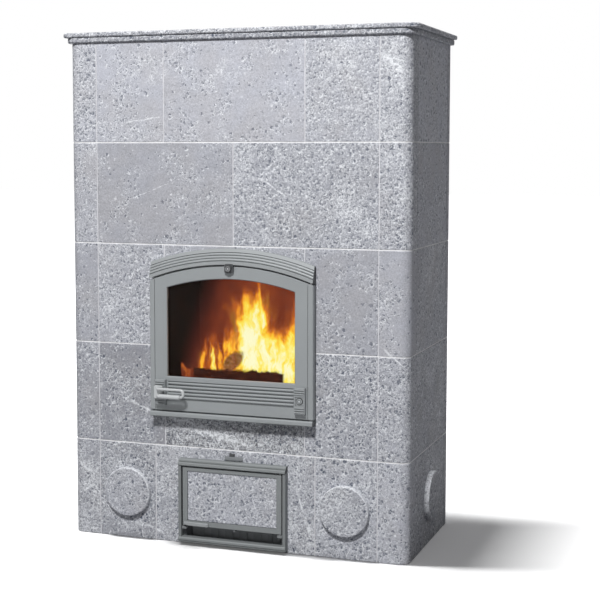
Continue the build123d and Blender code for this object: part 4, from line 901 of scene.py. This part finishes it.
# backdrop behind the glass: the fire, painted on two sheets, not part of the stove
fire = dict(
    glassHalf=0.194,
    glassLow=0.492,
    glassTall=0.286,
    glassFront=-0.2455,
    lean=-0.376,  # how far the line of sight moves sideways, per metre of depth
    drop=-0.135,  # and down
    sheets=((-0.085, 0.92, True), (-0.03, 0.14, False)),  # depth, strength, with the logs
    sheetWide=0.455,
    sheetTall=0.45,
    sheetMiddle=0.63,
    # heat, and the colour of the flame at it
    glow=(
        (0.0, tint(0, 0, 0)),
        (0.10, tint(0.055, 0.010, 0.006)),
        (0.22, tint(0.20, 0.036, 0.013)),
        (0.36, tint(0.55, 0.130, 0.018)),
        (0.46, tint(0.92, 0.34, 0.022)),
        (0.57, tint(1.0, 0.64, 0.040)),
        (0.70, tint(1.0, 0.85, 0.13)),
        (0.92, tint(1.0, 0.97, 0.60)),
    ),
    logBark=(tint(0.006, 0.002, 0.002), tint(0.075, 0.018, 0.010)),
    stubBark=(tint(0.090, 0.022, 0.010), tint(0.40, 0.15, 0.075)),
    ember=tint(0.60, 0.16, 0.04),
    logSpan=(-0.67, -0.63, 0.80, 0.85),  # the level log's ends, in u
    logTop=(0.060, 0.085),  # and its top, in v
    stub=(0.01, 0.165, 0.18, 0.098, 0.35),  # u, v, half width, half height, slant
    # u, v at the foot, u, v at the tip (u -1..1 across, v 0..1 up the glass), half width, strength
    tongues=(
        (0.40, 0.12, 0.22, 1.02, 0.40, 1.25),
        (0.30, 0.18, 0.28, 0.66, 0.22, 1.40),
        (0.40, 0.45, 0.52, 1.10, 0.10, 0.55),
        (0.16, 0.38, -0.06, 0.84, 0.16, 0.45),
        (0.44, 0.30, 0.62, 0.92, 0.26, 0.42),
        (0.66, 0.02, 0.68, 0.56, 0.38, 1.25),
        (0.94, -0.05, 0.98, 0.66, 0.28, 1.15),
        (0.86, 0.30, 1.02, 0.92, 0.22, 0.36),
        (0.30, 0.00, 0.42, 1.30, 0.75, 0.16),
        (0.16, 0.02, 0.10, 0.42, 0.40, 0.42),
        (-0.12, 0.00, -0.02, 0.58, 0.10, 0.50),
        (-0.20, 0.02, -0.22, 0.40, 0.05, 0.55),
        (-0.33, 0.04, -0.37, 0.40, 0.035, 1.00),
        (-0.36, 0.00, -0.30, 0.56, 0.20, 0.24),
        (-0.56, 0.02, -0.46, 0.44, 0.08, 0.50),
        (-0.78, 0.00, -0.90, 0.18, 0.09, 0.40),
    ),
)


def millimetres(depth):
    return str(abs(round(depth * 1000)))


def flameMaterial(depth, strength, withLogs):
    material, place = newMaterial("flames" + millimetres(depth))
    behind = depth - fire["glassFront"]
    x, y, z = place.parts()
    # u and v are where the sheet is seen through the glass
    u = plainU = (x - fire["lean"] * behind) / fire["glassHalf"]
    v = plainV = (z - fire["glassLow"] - fire["drop"] * behind) / fire["glassTall"]
    lift = v.clamped()
    drawn = place.stretched((1, 1, 0.40))
    sway = drawn.noise(15.0, 3.0, 0.55) - 0.5
    flick = drawn.noise(48.0, 4.0, 0.65) - 0.5
    u = u + sway * (lift * 0.8 + 0.2) + flick * 0.20
    v = v + (place.noise(24.0, 3.0) - 0.5) * 0.20
    heat = None
    for footU, footV, tipU, tipV, half, power in fire["tongues"]:
        rise = ((v - footV) / (tipV - footV)).clamped()
        middle = rise * (tipU - footU) + footU
        taper = (1 - rise) ** 0.55 * half + 0.012
        side = ((u - middle).sum("ABSOLUTE") / taper).fade(1.15, 0.0)
        top = 1 - rise.fade(0.50, 1.0)
        foot = v.fade(footV - 0.12, footV + 0.06)
        part = side * top * foot * power
        heat = part if heat is None else heat + part
    wavy = place.shift(place.noiseVector(12.0, 2.0).scaled(0.09))
    wisp = wavy.stretched((1, 1, 0.22)).noise(70.0, 4.0, 0.6)
    fine = wavy.stretched((1, 1, 0.18)).noise(190.0, 3.0, 0.6)
    heat = heat * 1.06 / (heat * 0.58 + 1.0)  # crossing tongues don't burn out to white
    heat = heat * (0.62 + wisp.fade(0.30, 0.70) * 0.52 + (fine - 0.5) * 0.40)
    slant = plainU - plainV * 0.5
    smoke = place.stretched((1, 1, 0.45), (0, -0.42, 0)).noise(17.0, 4.0, 0.6) - 0.5
    haze = slant.fade(-1.05, -0.50) * (0.175 + smoke * 0.26 + flick * 0.12)
    heat = (heat + haze * (1 - heat.clamped())).clamped()
    glow = heat.ramp(*fire["glow"])
    ragged = (place.noise(42.0, 4.0, 0.7) - 0.5) * 0.10
    low = band(plainU, fire["logSpan"]) * (1 - (plainV + ragged).fade(*fire["logTop"]))
    stubU, stubV, halfU, halfV, slope = fire["stub"]
    roundU = (plainU + ragged * 1.3 - stubU) / halfU
    roundV = (plainV + ragged - plainU * slope - stubV) / halfV
    stub = 1 - (roundU * roundU + roundV * roundV).fade(0.55, 1.15)
    wood = (low + stub * 0.92).clamped()
    through = tint(1, 1, 1)
    timber = tint(0, 0, 0)  # the back sheet is only dark where the logs stand before it
    if withLogs:
        bark = place.stretched((0.55, 1, 1)).noise(130.0, 5.0, 0.75)
        ember = bark.fade(0.56, 0.70) * (low * 0.5 + stub * 0.15)
        brown = bark.fade(0.3, 0.7).blend(*fire["logBark"])
        stubBrown = bark.fade(0.30, 0.72).blend(*fire["stubBark"])
        timber = ember.blend(stub.blend(brown, stubBrown), fire["ember"])
        through = wood.blend(tint(1, 1, 1), tint(0, 0, 0))
    glow = wood.blend(glow, timber)
    seen = place.make("ShaderNodeLightPath", {}, {}, out=0)
    clearAir = place.make("ShaderNodeBsdfTransparent", {}, {"Color": through})
    light = place.make("ShaderNodeEmission", {}, {"Color": glow, "Strength": strength})
    both = place.make("ShaderNodeAddShader", {}, {0: clearAir, 1: light})
    return finish(material, place.make("ShaderNodeMixShader", {}, {0: seen, 1: clearAir, 2: both}))


for depth, strength, withLogs in fire["sheets"]:
    clear()
    middle = (0, depth, fire["sheetMiddle"])
    bpy.ops.mesh.primitive_plane_add(size=1, location=middle, rotation=(pi / 2, 0, 0))
    sheet = bpy.context.object
    sheet.scale = (fire["sheetWide"], fire["sheetTall"], 1)
    bpy.ops.object.transform_apply(location=True, rotation=True, scale=True)
    sheet.name = "flameSheet" + millimetres(depth)
    sheet.data.materials.append(flameMaterial(depth, strength, withLogs))
print("fire painted")


# floor, air and lamps
stage = dict(
    floorSize=60,
    floorDrop=0.0005,  # so that the stove's foot doesn't share its level
    paper=tint(0.98, 0.98, 0.98),
    bounce=tint(0.25, 0.25, 0.26),  # what the floor gives back to the stove
    glow=tint(0.09, 0.09, 0.09),  # the floor's own white near the stove, full beyond clearTo
    clearFrom=0.95,
    clearTo=2.4,
    airTint=tint(1.0, 1.0, 1.02),
    air=0.155,
)


def backgroundRays(wire):  # the camera, gloss and glass see the white studio
    rays = ("Is Camera Ray", "Is Glossy Ray", "Is Transmission Ray")
    camera, gloss, glass = wire.make("ShaderNodeLightPath", {}, {}, out=rays)
    return (camera + gloss + glass).clamped()


def floorMaterial():
    material, place = newMaterial("paleFloor")
    x, y, z = place.parts()
    away = (x * x + y * y).sum("SQRT")
    seen = backgroundRays(place)
    base = seen.blend(stage["bounce"], stage["paper"])
    matt = place.make("ShaderNodeBsdfDiffuse", {}, {"Color": base})
    far = away.fade(stage["clearFrom"], stage["clearTo"])
    grey = far.blend(stage["glow"], tint(1, 1, 1))
    light = place.make("ShaderNodeEmission", {}, {"Color": grey, "Strength": 1.0})
    both = place.make("ShaderNodeAddShader", {}, {0: matt, 1: light})
    return finish(material, place.make("ShaderNodeMixShader", {}, {0: seen, 1: matt, 2: both}))


clear()
under = (0, 0, -stage["floorDrop"])
bpy.ops.mesh.primitive_plane_add(size=stage["floorSize"], location=under)
floor = bpy.context.object
floor.name = "studioFloor"
floor.data.materials.append(floorMaterial())

world = bpy.data.worlds.new("studio")
bpy.context.scene.world = world
world.use_nodes = True
world.node_tree.nodes.clear()
air = Wire(world.node_tree)
soft = {"Color": stage["airTint"], "Strength": stage["air"]}
fill = air.make("ShaderNodeBackground", {}, soft)
white = air.make("ShaderNodeBackground", {}, {"Color": tint(1, 1, 1), "Strength": 1.0})
sky = air.make("ShaderNodeMixShader", {}, {0: backgroundRays(air), 1: fill, 2: white})
worldOut = world.node_tree.nodes.new("ShaderNodeOutputWorld")
world.node_tree.links.new(sky.socket, worldOut.inputs["Surface"])


lamps = dict(
    keyLamp=dict(place=(0.33, -3.79, 4.72), aim=(0, 0, 0.8), size=0.7, watts=316),
    backLamp=dict(place=(-2.2, 3.6, 1.5), aim=(0, 0, 0.75), size=1.4, watts=120),
    # overhead, for the floor's soft shadow; longer one way, so that the shadow fades slowly
    floorLamp=dict(place=(-1.4, -0.49, 11), aim=(0, 0, 0), size=0.6, length=2.4, watts=1380),
)
fireGlow = dict(place=(0.02, -0.06, 0.60), size=0.06, watts=0.35, shade=(1.0, 0.42, 0.12))


def lamp(name, receivers, place, aim, size, watts, length=None):
    clear()
    bpy.ops.object.light_add(type="AREA", location=place)
    light = bpy.context.object
    light.name = name
    light.data.size = size
    light.data.energy = watts
    if length:
        light.data.shape = "RECTANGLE"
        light.data.size_y = length
    light.rotation_euler = (Vector(aim) - Vector(place)).to_track_quat("-Z", "Y").to_euler()
    light.light_linking.receiver_collection = receivers


floorOnly = bpy.data.collections.new("floorOnly")
floorOnly.objects.link(floor)
stoveOnly = bpy.data.collections.new("stoveOnly")
for body in frame["bodies"].values():
    for piece in body.children:
        stoveOnly.objects.link(piece)
lamp("keyLamp", stoveOnly, **lamps["keyLamp"])
lamp("backLamp", stoveOnly, **lamps["backLamp"])
lamp("floorLamp", floorOnly, **lamps["floorLamp"])

clear()
bpy.ops.object.light_add(type="POINT", location=fireGlow["place"])
glowLamp = bpy.context.object
glowLamp.name = "fireGlow"
glowLamp.data.energy = fireGlow["watts"]
glowLamp.data.color = fireGlow["shade"]
glowLamp.data.shadow_soft_size = fireGlow["size"]

# camera, at the photograph's viewpoint
view = dict(
    place=(1.43318, -3.81352, 1.14274),
    turn=0.34789,
    dip=0.08357,
    lens=82.05,
    shift=(0.0375, -0.06),
)
clear()
bpy.ops.object.camera_add(location=view["place"], rotation=(pi / 2 - view["dip"], 0, view["turn"]))
camera = bpy.context.object
camera.name = "photoCamera"
camera.data.lens = view["lens"]
camera.data.shift_x, camera.data.shift_y = view["shift"]
bpy.context.scene.camera = camera
bpy.context.scene.view_settings.view_transform = "Standard"
print("stage, lamps and camera set")
